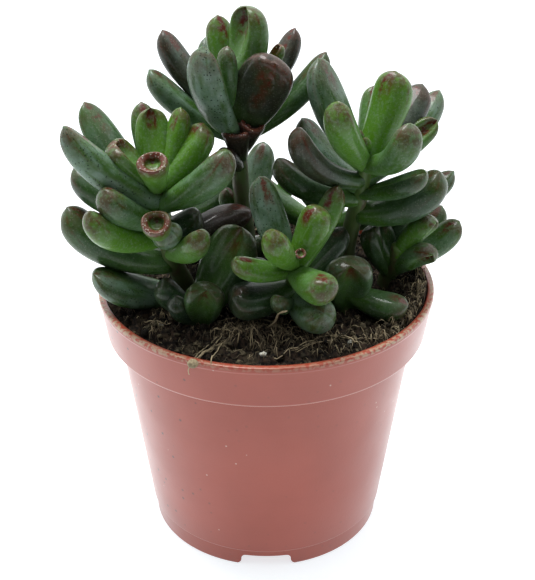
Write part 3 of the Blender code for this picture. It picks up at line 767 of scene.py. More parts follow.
# A root's row is its radius and how pale it is, and then its places, with their heights above the peat.
LONG_ROOTS = (
    (0.22, 1.0, (-8.5, -29.5, 0.8), (-12.5, -35.5, 1.5), (-16.5, -41.0, 1.0), (-19.0, -45.0, 1.6),
     (-20.6, -48.2, 2.6)),
    (0.18, 0.8, (-6.5, -30.5, 0.6), (-11.5, -37.0, 1.0), (-16.5, -42.0, 1.3), (-19.5, -46.0, 1.2),
     (-20.4, -48.4, 2.3)),
    (0.15, 0.9, (-10.5, -28.0, 0.7), (-14.0, -35.0, 1.1), (-18.0, -41.5, 1.5), (-20.5, -47.0, 2.4)),
    (0.14, 0.7, (-3.0, -27.0, 0.7), (-9.0, -34.5, 0.9), (-15.0, -41.0, 1.0), (-19.5, -46.0, 2.0)),
    (0.18, 1.0, (-9.0, -31.5, 0.8), (-12.0, -37.5, 1.2), (-14.0, -43.0, 1.5), (-15.2, -47.5, 2.4),
     (-15.4, -50.2, 2.1)),
    (0.22, 1.0, (1.4, -46.2, 0.5), (6.6, -42.4, 1.3), (13.8, -37.5, 1.8), (20.3, -34.3, 1.3),
     (24.6, -36.4, 1.7), (27.0, -37.5, 0.6)),
    (0.17, 0.9, (4.5, -43.5, 0.6), (9.5, -40.6, 1.0), (14.5, -38.5, 1.4), (19.0, -36.0, 1.0),
     (22.0, -33.0, 0.5)),
    (0.15, 0.85, (17.0, -33.0, 0.6), (20.0, -35.0, 1.3), (24.0, -35.5, 1.1), (29.5, -34.0, 0.8),
     (33.0, -34.5, 0.5)),
    (0.15, 0.8, (8.0, -42.5, 0.5), (12.0, -40.0, 1.3), (15.0, -36.5, 1.0), (16.5, -33.0, 0.5)),
    (0.2, 0.8, (24.5, -28.0, 0.6), (27.0, -29.5, 1.6), (29.0, -31.5, 0.5)),
    (0.16, 0.9, (-36.5, -24.0, 0.6), (-33.0, -25.0, 1.5), (-29.5, -26.5, 1.0), (-26.5, -26.0, 0.4)),
)
STRAWS = (
    (0.3, 0.5, (-14.0, -26.5, 84.3), (-7.0, -28.5, 86.6), (0.0, -30.0, 86.6), (6.5, -31.5, 84.6)),
    (0.45, 0.7, (0.5, -31.5, 84.4), (3.5, -32.8, 86.2), (7.5, -34.5, 83.8)),
    (0.25, 0.75, (-9.0, -33.0, 84.0), (-4.5, -32.0, 86.4), (1.0, -34.0, 84.4)),
    (0.3, 0.7, (46.5, 1.5, 84.0), (48.8, 3.5, 86.3), (51.0, 5.5, 88.6)),
    (0.22, 0.9, (45.0, -8.0, 83.0), (47.2, -8.5, 86.2), (49.0, -8.0, 87.5)),
    (0.2, 0.9, (44.0, -14.0, 83.0), (46.5, -13.0, 86.0), (48.0, -11.5, 87.0)),
)
TWIG = ((-3.5, -29.5, 82.3), (-1.5, -31.2, 83.8), (2.3, -34.0, 88.1), (3.6, -37.5, 93.1), (6.2, -40.5, 95.7))
TWIG_RADIUS = 0.3
ROOT_TAIL = ((-21.2, -50.0, 83.4), (-21.7, -50.0, 82.3), (-21.8, -49.6, 81.0), (-21.6, -49.0, 79.8))
ROOT_TAIL_RADIUS = 0.16
BALL_PLACE = (-20.5, -49.2, 83.7)
BALL_SIZE = 1.45
BALL_COILS = 20
COIL_RADIUS = 0.2
FLOW_STEPS = 6
PEAT_FOLLOWED = 0.35
PEAT_MEAN = SOIL_TOP + LOOSE_DEPTH + 1.0


def curve(a, b, c, d, f):
    """A smooth curve from b to c, at a share f of the way, which heads on from a and towards d."""
    return 0.5 * (2 * b + (c - a) * f + (2 * a - 5 * b + 4 * c - d) * f**2 + (3 * b - 3 * c + d - a) * f**3)


def flowing(places):
    """A smooth line through a few places."""
    places = np.array(places, float)
    padded = np.vstack([2 * places[0] - places[1], places, 2 * places[-1] - places[-2]])
    line = []
    for k in range(len(places) - 1):
        for f in np.linspace(0.0, 1.0, FLOW_STEPS, endpoint=False):
            line.append(curve(*padded[k : k + 4], f))
    line.append(places[-1])
    return np.array(line)


points, faces, tones = [], [], []
for radius, tone, *places in LONG_ROOTS:
    line = []
    for x, y, lift in flowing(places):
        ground = peat_height(x, y) * PEAT_FOLLOWED + PEAT_MEAN * (1 - PEAT_FOLLOWED)
        line.append((x, y, ground + lift))
    strand(line, radius, tone)
for radius, tone, *places in STRAWS:
    strand(flowing(places), radius, tone)
strand(flowing(TWIG), TWIG_RADIUS, 1.0)
strand(flowing(ROOT_TAIL), ROOT_TAIL_RADIUS, 1.0)
for _ in range(BALL_COILS):
    coil = []
    lean, turn = dice.uniform(0, math.pi), dice.uniform(0, math.pi)
    for k in range(15):
        angle = 2 * math.pi * k / 13
        x, y = BALL_SIZE * math.cos(angle), BALL_SIZE * math.sin(angle) * 0.8
        across = x * math.cos(turn) - y * math.cos(lean) * math.sin(turn)
        deep = x * math.sin(turn) + y * math.cos(lean) * math.cos(turn)
        coil.append((BALL_PLACE[0] + across, BALL_PLACE[1] + deep, BALL_PLACE[2] + y * math.sin(lean)))
    strand(coil, COIL_RADIUS, dice.uniform(0.75, 1.0))
roots = mesh_object("long_roots", points, faces)
set_values(roots, "tone", tones)
roots.data.materials.append(fibre_look)
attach(roots, "root")

# The leafy stems.
# Jade plant cuttings, rooted together. Each stem is green and fleshy, and its leaves are thick, smooth
# and half rolled into tubes: some are closed fingers, and some end in a mouth with a red-brown lip.
STEM_FOOT_RADIUS = 3.1
STEM_TIP_RADIUS = 2.0
STEM_WOBBLE = 0.03
JOINT_LOWEST = 83.0
JOINT_SPACING = 7.0
JOINT_WIDTH = 0.5
JOINT_SWELLING = 0.05
STEM_SIDES = 24
STEM_RINGS = 90
APEX_REACH = 14.0
SLANT_START = 0.45
LEAF_POINT = 0.012
LEAF_POINT_WIDTH = 0.035
CUP_LIP_WIDTH = 0.13
BOWL_MIDDLE = 0.6
BOWL_SHIFT = -0.12
BOWL_RIDGE_LONG = 0.27
BOWL_RIDGE_WIDE = 0.3
BOWL_RIDGE_HEIGHT = 0.55
BOWL_RIDGE_SHARP = 0.09
LEAF_SIDES = 40
LEAF_RINGS = 46
MOUTHED_KINDS = ("cup", "ear", "bowl", "slit", "fold", "furrow")

# A leaf's slow unevenness: its height as a share of the width, its waves around, and its twist.
LEAF_SWELLS = ((0.03, 3, 4), (0.025, 2, -9))

# A kind of leaf is an outline of evenly spaced stations from root to tip: how far along the leaf each one
# lies, and half the width there, both as shares. Then come its thickness as a share of its width, how deep
# its groove is at the root and at the tip, how narrow the groove is, how far its mouth slants, how far its
# tip is lifted, and at what share of the stations a cup's or ear's lip lies.
Kind = namedtuple("Kind", "along half thickness groove spread slant hook lip")
EVEN = (0.0, 0.02, 0.15, 0.35, 0.56, 0.76, 0.9, 0.975, 1.0)
BLUNT = (0.0, 0.54, 0.7, 0.87, 0.98, 1.0, 0.83, 0.46, 0.0)
SPEAR_ALONG = (0.0, 0.02, 0.15, 0.34, 0.54, 0.74, 0.89, 0.97, 1.0)
SPEAR_HALF = (0.0, 0.62, 0.86, 1.0, 0.98, 0.86, 0.64, 0.35, 0.0)
SPOON_HALF = (0.0, 0.44, 0.64, 0.87, 1.0, 0.97, 0.75, 0.4, 0.0)
EAR_ALONG = (0.0, 0.02, 0.15, 0.34, 0.54, 0.75, 0.92, 1.0, 0.99)
EAR_HALF = (0.0, 0.5, 0.66, 0.82, 0.94, 1.0, 0.9, 0.5, 0.0)
CUP_ALONG = (0.0, 0.02, 0.28, 0.62, 0.9, 1.0, 0.97, 0.9, 0.89)
CUP_HALF = (0.0, 0.52, 0.66, 0.82, 1.0, 0.9, 0.58, 0.4, 0.0)
FOLD_HALF = (0.0, 0.5, 0.68, 0.88, 1.0, 0.97, 0.8, 0.46, 0.0)
SLIT_HALF = (0.0, 0.52, 0.7, 0.87, 0.97, 1.0, 0.87, 0.52, 0.0)
BOWL_ALONG = (0.0, 0.02, 0.14, 0.34, 0.56, 0.77, 0.92, 0.985, 1.0)
BOWL_HALF = (0.0, 0.5, 0.84, 0.99, 1.0, 0.93, 0.74, 0.42, 0.0)
LEAF_KINDS = {
    "finger": Kind(EVEN, BLUNT, 0.93, (0.05, 0.2), 4.0, 0.1, 0.4, 0.0),
    "spear": Kind(SPEAR_ALONG, SPEAR_HALF, 0.92, (0.05, 0.15), 4.0, 0.1, 0.35, 0.0),
    "furrow": Kind(EVEN, BLUNT, 0.93, (0.2, 1.15), 5.0, 0.1, 0.2, 0.0),
    "spoon": Kind(EVEN, SPOON_HALF, 0.62, (0.1, 0.2), 3.0, 0.0, 0.35, 0.0),
    "ear": Kind(EAR_ALONG, EAR_HALF, 0.86, (0.3, 1.5), 2.4, 0.5, 0.0, 0.8),
    "cup": Kind(CUP_ALONG, CUP_HALF, 0.94, (0.0, 0.1), 2.0, 0.6, 0.0, 0.68),
    "fold": Kind(EVEN, FOLD_HALF, 0.72, (0.3, 1.0), 9.0, 0.0, 0.2, 0.0),
    "slit": Kind(EVEN, SLIT_HALF, 0.82, (-0.9, 1.3), 6.0, 0.2, 0.2, 0.0),
    "bowl": Kind(BOWL_ALONG, BOWL_HALF, 0.6, (0.1, 0.4), 3.0, 0.0, 0.2, 0.0),
}

# A leaf's colour, as how bright its green is, how much pale wax and painted sheen lie on it, how red its tip
# is, and how far it has turned purple.
LOOK_PARTS = ("bright", "wax", "red", "purple")
LOOK_SPREAD = 0.06
STREAK_SHIFT = 40.0
LOOKS = {
    "bright": (1.0, 0.12, 0.85, 0.0),
    "fresh": (0.78, 0.2, 0.85, 0.0),
    "mid": (0.52, 0.35, 0.85, 0.0),
    "waxy": (0.38, 1.0, 0.7, 0.0),
    "grey": (0.34, 0.75, 0.45, 0.05),
    "dark": (0.26, 0.2, 0.5, 0.0),
    # The deep look is for old dark leaves low down. It is darker than their own green, as a painted shade
    # where they lie under the others.
    "deep": (0.1, 0.14, 0.25, 0.0),
    "purple": (0.15, 0.5, 0.7, 0.65),
    "wine": (0.0, 0.12, 0.6, 0.85),
    "umber": (0.12, 0.1, 0.8, 0.6),
}

# Each stem stands upright in the peat, and bends above it through some places up to its growing tip.
ROOTED_HEIGHTS = (45, 64, 82)


def rooted(x, y, *above):
    """The places that a stem goes through, from its foot to its tip."""
    return [(x, y, z) for z in ROOTED_HEIGHTS] + list(above)


# A leaf row gives its kind and look, the height at which it leaves the stem, its heading, its rise above
# level, its length and width, how far it bows as a share of its length, and how far it is rolled about
# itself.
SHOOTS = {}

SHOOTS["left_shoot"] = rooted(-24, -7, (-28, -14, 99), (-30.4, -20, 117), (-31, -21, 130)), (
    ("spear", "waxy", 120, 197, 43, 36.5, 11.2, 0.05, 0),
    ("spoon", "dark", 121, 142, 38, 36, 10.8, 0.06, 0),
    ("ear", "fresh", 126, 187, 49, 17, 11.5, 0.05, 0),
    ("cup", "bright", 125, 271, 44, 20, 8.6, 0.05, 0),
    ("fold", "bright", 127, 101, 63, 20.5, 9.6, 0.04, 0),
    ("finger", "mid", 123, 108, 50, 27, 7.6, 0.05, 0),
    ("finger", "bright", 126, 49, 59, 22.5, 7.0, 0.04, 0),
    ("finger", "bright", 125, 25, 44, 22.5, 9.8, 0.06, 0),
    ("finger", "mid", 119, 336, 39, 30, 10.6, 0.05, 0),
    ("finger", "dark", 116, 153, 14, 31, 10.8, 0.1, 0),
    ("finger", "mid", 113, 224, 35, 26, 9.8, 0.06, 0),
    ("cup", "fresh", 112, 270, 28, 26, 8.4, 0.08, 0),
    ("finger", "bright", 107.5, 222, 28, 31, 9.4, 0.11, 0),
    ("finger", "dark", 97, 179, 27, 36.5, 12.0, 0.16, 0),
    ("finger", "grey", 111.5, 278, 20, 21, 8.6, 0.06, 0),
    ("finger", "fresh", 101, 296, 33, 29, 8.4, 0.06, 0),
    ("spoon", "grey", 82.5, 205, 22, 33, 14.6, 0.05, 0),
    ("finger", "wine", 101, 27, 13, 27, 9.0, -0.13, 0),
    ("finger", "dark", 118, 62, 30, 26, 8.6, 0.08, 0),
    ("finger", "dark", 106, 108, 22, 26, 9.0, 0.1, 0),
    ("finger", "deep", 111, 352, 20, 12, 8.4, 0.05, 0),
)

SHOOTS["top_shoot"] = rooted(-5, 6, (-6.5, 5, 99), (-8, 2.5, 122), (-8.3, 1, 146)), (
    ("slit", "fresh", 140, 36, 82, 30.5, 12.6, 0.04, -10),
    ("finger", "fresh", 140, 118, 60, 28, 8.6, 0.05, 0),
    ("finger", "mid", 138, 238, 74, 23, 6.2, 0.04, 0),
    ("spoon", "waxy", 131, 238, 60, 37, 12.2, 0.1, 0),
    ("finger", "purple", 137, 152, 40, 34.5, 8.4, 0.08, 0),
    ("finger", "grey", 131, 171, 34, 33, 8.2, 0.06, 0),
    ("bowl", "umber", 135, 311, 54, 29, 15.8, 0.06, 114),
    ("ear", "fresh", 141, 12, 54, 21.5, 5.6, 0.05, 0),
    ("finger", "purple", 139, 44, 39, 31.5, 7.4, 0.1, 0),
    ("finger", "dark", 131, 24, 36, 36.5, 8.0, 0.08, 0),
    ("cup", "wine", 124.5, 266, 60, 14.5, 8.8, 0.03, 0),
    ("cup", "wine", 126, 307, 58, 14, 7.8, 0.03, 0),
    ("finger", "grey", 139, 119, 37, 27, 7.4, 0.06, 0),
    ("spoon", "grey", 104, 72, 38, 26, 9.6, 0.05, 0),
    ("finger", "mid", 97, 172, 66, 17, 6.0, 0.04, 0),
    ("finger", "wine", 121, 243, 39, 13, 6.4, 0.04, 0),
    ("finger", "dark", 128, 82, 30, 26, 8.0, 0.1, 0),
)

SHOOTS["right_shoot"] = rooted(24, 3, (26, -1, 102), (28.5, -6.5, 119), (29.5, -8, 133)), (
    ("spoon", "grey", 125, 161, 62, 35, 14.4, 0.04, 0),
    ("finger", "bright", 126, 235, 52, 29.5, 9.8, 0.05, 0),
    ("finger", "bright", 128, 31, 67, 27, 11.8, 0.04, 0),
    ("finger", "fresh", 127, 79, 49, 23.5, 7.6, 0.04, 0),
    ("finger", "purple", 125, 49, 31, 33, 10.4, 0.06, 0),
    ("finger", "grey", 121, 50, 22, 42.5, 9.4, 0.08, 0),
    ("fold", "fresh", 123, 27, 27, 27.5, 8.6, 0.1, 40),
    ("finger", "mid", 126.5, 307, 42, 25.5, 9.6, 0.15, 0),
    ("finger", "purple", 121, 208, 40, 31, 9.0, 0.14, 0),
    ("finger", "dark", 114, 190, 27, 29.5, 9.0, 0.1, 0),
    ("fold", "dark", 116, 331, 26, 23, 9.4, 0.05, 0),
    ("finger", "dark", 108.5, 353, 27, 29.5, 11.8, 0.14, 0),
    ("finger", "grey", 109, 22, 11, 34.5, 8.2, 0.12, 0),
    ("finger", "grey", 118, 137, 30, 29, 9.2, 0.08, 0),
    ("finger", "bright", 129, 233, 62, 10.5, 3.0, 0.0, 0),
    ("finger", "bright", 130, 261, 45, 9.5, 3.0, 0.0, 0),
    ("finger", "dark", 114, 92, 28, 28, 9.0, 0.1, 0),
    ("finger", "deep", 91, 247, 18, 13, 6.4, 0.04, 0),
)

SHOOTS["front_shoot"] = rooted(8, -20, (8, -25, 96), (8, -28, 107)), (
    ("finger", "bright", 104, 245, 45, 22, 8.4, 0.06, 0),
    ("finger", "bright", 104, 353, 67, 19.5, 9.8, 0.03, 0),
    ("finger", "bright", 101, 210, 20, 21.5, 7.2, 0.06, 0),
    ("finger", "fresh", 101, 296, 10, 21.5, 10.0, 0.06, 0),
    ("finger", "bright", 105, 249, 54, 8.5, 3.0, 0.0, 0),
    ("cup", "bright", 105, 285, 40, 8.5, 3.4, 0.0, 0),
    ("finger", "fresh", 100, 41, 51, 28.5, 7.4, 0.05, 0),
    ("spoon", "grey", 98, 152, 68, 32, 10.4, 0.03, 0),
    ("finger", "deep", 94, 206, 0, 20.5, 12.0, 0.06, 0),
    ("finger", "grey", 92, 297, 2, 19.5, 11.2, 0.08, 0),
    ("finger", "dark", 89, 253, 26, 19, 6.0, 0.06, 0),
    ("finger", "deep", 94, 49, 22, 26, 8.4, 0.02, 0),
    ("finger", "deep", 90, 139, 21, 18, 7.4, 0.05, 0),
)

SHOOTS["mid_right_shoot"] = rooted(24, -17, (24, -18, 92)), (
    ("fold", "dark", 84, 272, 66, 21, 15.0, 0.03, 180),
    ("finger", "dark", 90, 338, -10, 19.5, 9.4, 0.05, 0),
)

SHOOTS["low_right_shoot"] = rooted(38, 2, (40, -1, 90), (40.5, -4, 98)), (
    ("finger", "mid", 90, 17, 27, 24.5, 8.8, 0.1, 0),
    ("finger", "dark", 92, 49, 20, 26, 8.8, 0.1, 0),
    ("slit", "fresh", 93, 345, 52, 18, 9.2, 0.05, 125),
    ("slit", "mid", 86, 316, 38, 20.5, 8.8, 0.08, 125),
    ("finger", "deep", 86, 208, 63, 19.5, 8.2, 0.03, 0),
    ("finger", "dark", 92, 85, 48, 18, 8.0, 0.06, 0),
    ("finger", "deep", 90, 165, 66, 14, 8.0, 0.04, 0),
)

SHOOTS["low_left_shoot"] = rooted(-20, -23, (-19.5, -23, 89)), (
    ("fold", "dark", 84, 26, 61, 30, 15.0, 0.04, 35),
    ("furrow", "dark", 82, 288, 60, 19, 11.6, -0.04, 172),
    ("finger", "deep", 82, 225, 48, 15, 7.2, 0.05, 0),
    ("finger", "deep", 85, 61, 28, 19, 7.2, 0.05, 0),
    ("finger", "deep", 85, 186, 42, 16, 8.6, 0.06, 0),
)

PAIR_SPACING = 6.0
PAIR_BOW = 0.08

# The pairs from the top down: their look, their rise, their length and their width. The lowest pair's deep
# look is partly painted shade.
PAIRS = (("bright", 66, 17, 6.4), ("mid", 44, 25, 8.6), ("dark", 28, 27, 9.4), ("deep", 14, 24, 9.0))


def paired_leaves(tip_height, heading, pairs, length_scale):
    """Leaf rows for a stem whose leaves grow in regular pairs, each a quarter turn from the next."""
    rows = []
    for level, (look, rise, length, width) in enumerate(PAIRS[:pairs]):
        foot = tip_height - PAIR_SPACING * level
        for turn in (heading + 90 * level, heading + 90 * level + 180):
            rows.append(("finger", look, foot, turn, rise, length * length_scale, width, PAIR_BOW, 0))
    return rows


SHOOTS["back_left_shoot"] = rooted(-20, 22, (-23, 26, 94), (-24, 27.5, 104)), paired_leaves(102, 70, 4, 0.95)
SHOOTS["back_right_shoot"] = rooted(16, 25, (19, 26, 94), (21, 27, 106)), paired_leaves(103, 160, 4, 1.0)
SHOOTS["back_low_shoot"] = rooted(2, 37, (2.5, 41.5, 91)), paired_leaves(90, 350, 1, 0.9)


def through(stations, before, after, share):
    """Reads a smooth curve through evenly spaced stations, at shares of the way from 0 to 1."""
    padded = np.vstack([before, stations, after]).astype(float)
    place = np.clip(share, 0.0, 1.0) * (len(stations) - 1)
    first = np.minimum(place.astype(int), len(stations) - 2)
    return curve(*(padded[first + k] for k in range(4)), (place - first)[:, None])


def stem_line(stem, steps):
    """A smooth line through a stem's places."""
    stem = np.array(stem, float)
    return through(stem, 2 * stem[0] - stem[1], 2 * stem[-1] - stem[-2], np.linspace(0.0, 1.0, steps))


def unit(vector):
    return vector / np.linalg.norm(vector)


def leaf_frame(stem, row):
    """A leaf's root and tip, and the direction that its upper side faces."""
    _, _, foot, heading, rise, length, _, _, roll = row
    line = stem_line(stem, 200)
    root = line[np.argmin(abs(line[:, 2] - foot))]
    heading, rise, roll = math.radians(heading), math.radians(rise), math.radians(roll)
    level = math.cos(rise)
    forward = np.array([math.cos(heading) * level, math.sin(heading) * level, math.sin(rise)])
    tip = root + forward * length
    apex = line[-1] + unit(line[-1] - line[-2]) * APEX_REACH
    towards = apex - (root + tip) / 2
    upper = unit(towards - forward * np.dot(towards, forward))
    upper = upper * math.cos(roll) + np.cross(forward, upper) * math.sin(roll)
    return root, tip, upper


def leaf_grid(rings, sides):
    """Shares of the way from root to tip, and angles around, for every point of a leaf, and its faces."""
    share, around = [0.0], [0.0]
    for ring in range(1, rings):
        for side in range(sides):
            share.append(ring / rings)
            around.append(2 * math.pi * side / sides)
    share.append(1.0)
    around.append(0.0)
    return np.array(share), np.array(around), ring_faces(0, 1, sides, rings - 1, len(share) - 1)


PLAIN_GRID = leaf_grid(LEAF_RINGS, LEAF_SIDES)
FINE_GRID = leaf_grid(LEAF_RINGS * 2, LEAF_SIDES * 2)


def leaf_surface(stem, row, fate):
    """One leaf's points and faces, and what its material reads at each point."""
    name, _, _, _, _, length, width, bow, _ = row
    kind = LEAF_KINDS[name]
    root, tip, upper = leaf_frame(stem, row)
    share, around, leaf_faces = FINE_GRID if name in MOUTHED_KINDS else PLAIN_GRID
    stations = np.column_stack([kind.along, kind.half])
    mirror = np.array([1.0, -1.0])
    along, half = through(stations, stations[1] * mirror, stations[-2] * mirror, share).T
    half = half * width / 2
    rise = np.sin(around)
    above = np.maximum(rise, 0.0)
    near_tip = np.clip((share - SLANT_START) * 2, 0.0, 1.0)
    if not kind.lip:
        along = along + LEAF_POINT * np.exp(-(((1.0 - share) / LEAF_POINT_WIDTH) ** 2))
    along = along - kind.slant * near_tip * half * above / length
    groove_root, groove_tip = kind.groove
    groove = np.maximum(groove_root + (groove_tip - groove_root) * np.clip(along, 0.0, 1.0), 0.0)
    trough = groove * above**kind.spread
    raised = rise * (1.0 - trough)
    middle = (root + tip) / 2 - 2 * bow * length * upper
    t = along[:, None]
    centre = root * (1 - t) ** 2 + 2 * middle * t * (1 - t) + tip * t**2
    lifted = kind.hook * kind.thickness * width / 2 * near_tip**2
    onward = 2 * (middle - root) * (1 - t) + 2 * (tip - middle) * t
    onward /= np.linalg.norm(onward, axis=1)[:, None]
    side = unit(np.cross(upper, tip - root))
    over = np.cross(onward, side)
    centre = centre + over * lifted[:, None]
    swell = 1.0
    for size, waves, twist in LEAF_SWELLS:
        wave = np.sin(waves * around + fate.uniform(0, 6) + twist * share)
        swell = swell + size * wave * np.sin(math.pi * share)
    across = side * (half * swell * np.cos(around))[:, None]
    skin_points = centre + across + over * (half * swell * kind.thickness * raised)[:, None]
    lip = np.zeros(len(share))
    if name == "cup":
        lip = np.exp(-(((share - kind.lip) / CUP_LIP_WIDTH) ** 4))
    elif name == "bowl":
        sideways = (np.cos(around) - BOWL_SHIFT) / BOWL_RIDGE_WIDE
        away = np.hypot((along - BOWL_MIDDLE) / BOWL_RIDGE_LONG, sideways)
        ridge = np.exp(-(((away - 1.0) / BOWL_RIDGE_SHARP) ** 2)) * (rise > 0)
        skin_points = skin_points + over * (ridge * BOWL_RIDGE_HEIGHT)[:, None]
        lip = 0.55 * np.exp(-((away / 0.9) ** 4)) * (rise > 0)
    elif name == "ear":
        crest = np.exp(-(((np.abs(around - math.pi / 2) - 0.75) / 0.5) ** 2))
        lip = crest * np.clip((share - 0.45) * 2.5, 0.0, 1.0)
        lip = np.maximum(lip, np.exp(-(((share - 1.0) / 0.1) ** 2)))
    inner = np.clip(trough * 1.4 - 0.25, 0.0, 1.0)
    shade = {"along": along, "rise": rise, "across": np.cos(around), "lip": lip, "inner": inner}
    return skin_points, leaf_faces, shade


def stem_skin(stem, fate):
    """A stem's points and faces, with a slight swelling at each pair of leaves, and shares of its height."""
    line = stem_line(stem, STEM_RINGS)
    top = line[-1][2]
    ahead, flat, over = along_line(line, (0.0, -1.0, 0.0))
    points = [line[0]]
    start_turn = fate.uniform(0, 6)
    for k in range(STEM_RINGS):
        share = np.clip((line[k][2] - SOIL_TOP) / (top - SOIL_TOP), 0.0, 1.0)
        radius = STEM_FOOT_RADIUS + (STEM_TIP_RADIUS - STEM_FOOT_RADIUS) * share
        off_joint = (line[k][2] - JOINT_LOWEST) % JOINT_SPACING - JOINT_SPACING / 2
        radius *= 1.0 + JOINT_SWELLING * math.exp(-(off_joint / JOINT_WIDTH) ** 2)
        if k == STEM_RINGS - 1:
            radius *= 0.7
        for s in range(STEM_SIDES):
            turn = 2 * math.pi * s / STEM_SIDES
            wobble = 1.0 + STEM_WOBBLE * math.sin(2 * turn + start_turn + line[k][2] * 0.3)
            points.append(line[k] + (flat[k] * math.cos(turn) + over[k] * math.sin(turn)) * radius * wobble)
    points.append(line[-1] + ahead[-1] * 0.3)
    shares = np.clip((np.array(points)[:, 2] - SOIL_TOP) / (top - SOIL_TOP), 0.0, 1.0)
    return points, ring_faces(0, 1, STEM_SIDES, STEM_RINGS, len(points) - 1), shares


leaf_look, flesh = material_of("jade leaf")
where = object_place(flesh)
along, rise, lip, bright = (own(flesh, name) for name in ("along", "rise", "lip", "bright"))
wax, red, purple = (own(flesh, name) for name in ("wax", "red", "purple"))
mottle = cloudy(where, 260.0, 5.0)
soft_mottle = cloudy(where, 70.0, 3.0)
stain = cloudy(where, 420.0, 5.0)
lengthwise = put(flesh, "ShaderNodeCombineXYZ")
drawn_out = plus(times(along, 1.6), own(flesh, "fate"))
dress(lengthwise, {"X": drawn_out, "Y": rise, "Z": own(flesh, "across")})
streak = cloudy(lengthwise.outputs[0], 1.7, 6.0)
green = plus(bright, between(soft_mottle, 0.3, 0.7, -0.12, 0.12), True)
colour = tint(green, (0.0045, 0.017, 0.0055), (0.07, 0.185, 0.009))
at_root = times(between(along, 0.5, 0.0), between(bright, 0.0, 0.8, 0.3, 0.85))
colour = tint(at_root, colour, (0.08, 0.21, 0.011))
colour = tint(times(own(flesh, "inner"), 0.7), colour, (0.075, 0.18, 0.015))
# Pale wax laid on in streaks along each leaf: partly the leaf's own bloom, and partly a painted sheen that
# stands for soft reflections of the lights.
wax_and_sheen_cover = times(wax, between(mottle, 0.3, 0.7, 0.35, 0.9))
wax_and_sheen_cover = times(wax_and_sheen_cover, between(streak, 0.34, 0.58, 0.05, 1.0))
colour = tint(wax_and_sheen_cover, colour, (0.18, 0.27, 0.22))
purple_cover = times(purple, between(along, 0.05, 0.6, 0.35, 0.95))
purple_cover = times(purple_cover, between(soft_mottle, 0.25, 0.6, 0.55, 1.0))
colour = tint(purple_cover, colour, (0.03, 0.012, 0.014))
cap = times(between(along, 0.74, 0.97), between(stain, 0.34, 0.58, 0.25, 1.0))
cap = times(cap, times(red, 0.9), clamp=True)
colour = tint(cap, colour, (0.07, 0.03, 0.02))
ridge = between(rise, 0.9, 0.99)
streaky_end = times(between(along, 0.6, 0.88), between(streak, 0.36, 0.55, 0.3, 1.0))
red_ridge = times(streaky_end, ridge, 1.3)
margin = between(sums("ABSOLUTE", sums("SUBTRACT", rise, 0.12)), 0.14, 0.0)
red_margin = times(margin, between(along, 0.55, 0.95), 0.55)
blush = sums("MAXIMUM", sums("MAXIMUM", red_ridge, red_margin), lip)
blush = times(blush, red, between(stain, 0.4, 0.55, 0.25, 1.3), clamp=True)
colour = tint(blush, colour, (0.085, 0.014, 0.006))
lining = times(between(lip, 0.5, 0.9), between(stain, 0.3, 0.5, 0.4, 0.85))
colour = tint(lining, colour, (0.12, 0.036, 0.022))
pore = dots(where, 1150.0, 0.3, 0.6)
pore_cover = times(pore, plus(times(wax, 0.85), 0.12))
colour = tint(pore_cover, colour, (0.008, 0.018, 0.01))
frost = between(cloudy(where, 1100.0, 5.0), 0.48, 0.66, 0.0, 0.24)
frost = times(frost, between(bright, 0.1, 0.7, 0.25, 1.0))
colour = tint(frost, colour, (0.2, 0.28, 0.2))
grain = times(dots(where, 1500.0, 0.36, 0.5), between(lip, 0.56, 0.85, 0.08, 0.78))
colour = tint(grain, colour, (0.5, 0.46, 0.4))
dull_patch = between(mottle, 0.3, 0.7, 0.34, 0.46)
flesh_look = {
    "Base Color": colour,
    "Roughness": plus(dull_patch, times(wax, 0.1)),
    "Specular IOR Level": 0.1,
    "Coat Weight": 0.35,
    "Coat Roughness": 0.15,
    "Subsurface Weight": 0.12,
    "Subsurface Radius": (0.6, 1.0, 0.3),
    "Subsurface Scale": 0.0015,
}
dress(flesh, flesh_look)
pitted = sums("SUBTRACT", cloudy(where, 900.0, 3.0), times(pore, 0.6))
relief(flesh, plus(pitted, grain), 0.00012, 0.7)

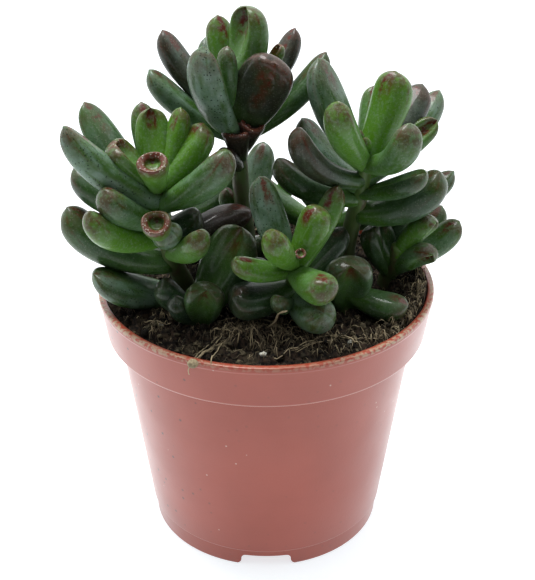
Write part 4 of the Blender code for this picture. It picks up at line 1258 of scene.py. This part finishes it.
stem_look, bark = material_of("jade stem")
streak = cloudy(object_place(bark), 300.0, 4.0, (1, 1, 0.25))
colour = tint(own(bark, "along"), (0.05, 0.05, 0.022), (0.085, 0.17, 0.03))
colour = tint(between(streak, 0.5, 0.72, 0.0, 0.65), colour, (0.07, 0.025, 0.026))
bark_skin = {"Base Color": colour, "Roughness": 0.5, "Subsurface Weight": 0.1, "Subsurface Scale": 0.001}
dress(bark, bark_skin)
relief(bark, streak, 0.0002, 0.6)

TIP_EASE = 0.8


def eased_in(points):
    """Draws in, by less than a millimetre, the few leaf tips that would reach past the plant's full size."""
    low, high = np.array(cad_box[0]) / MM + TIP_EASE, np.array(cad_box[1]) / MM - TIP_EASE
    points = np.asarray(points)
    inside = np.clip(points, low, high)
    return inside + TIP_EASE * np.tanh((points - inside) / TIP_EASE)


for order, (shoot_name, (stem, rows)) in enumerate(SHOOTS.items()):
    fate = random.Random(100 + order)
    points, faces, stem_shares = stem_skin(stem, fate)
    stem_faces = len(faces)
    values = {"along": list(stem_shares)}
    for name in ("rise", "across", "lip", "inner", "fate", *LOOK_PARTS):
        values[name] = [0.0] * len(points)
    for row in rows:
        leaf, leaf_faces, shade = leaf_surface(stem, row, fate)
        start = len(points)
        points.extend(leaf)
        faces.extend(tuple(start + v for v in face) for face in leaf_faces)
        for name, numbers in shade.items():
            values[name].extend(numbers)
        values["fate"].extend([fate.uniform(0.0, STREAK_SHIFT)] * len(leaf))
        for name, value in zip(LOOK_PARTS, LOOKS[row[1]]):
            own_value = min(max(value + fate.uniform(-LOOK_SPREAD, LOOK_SPREAD), 0.0), 1.0)
            values[name].extend([own_value] * len(leaf))
    piece = mesh_object(shoot_name.replace("shoot", "leafy_stem"), eased_in(points), faces)
    for name, numbers in values.items():
        set_values(piece, name, numbers)
    piece.data.materials.append(leaf_look)
    piece.data.materials.append(stem_look)
    indices = np.zeros(len(faces), np.int32)
    indices[:stem_faces] = 1
    piece.data.polygons.foreach_set("material_index", indices)
    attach(piece, "root")
    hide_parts(shoot_name)
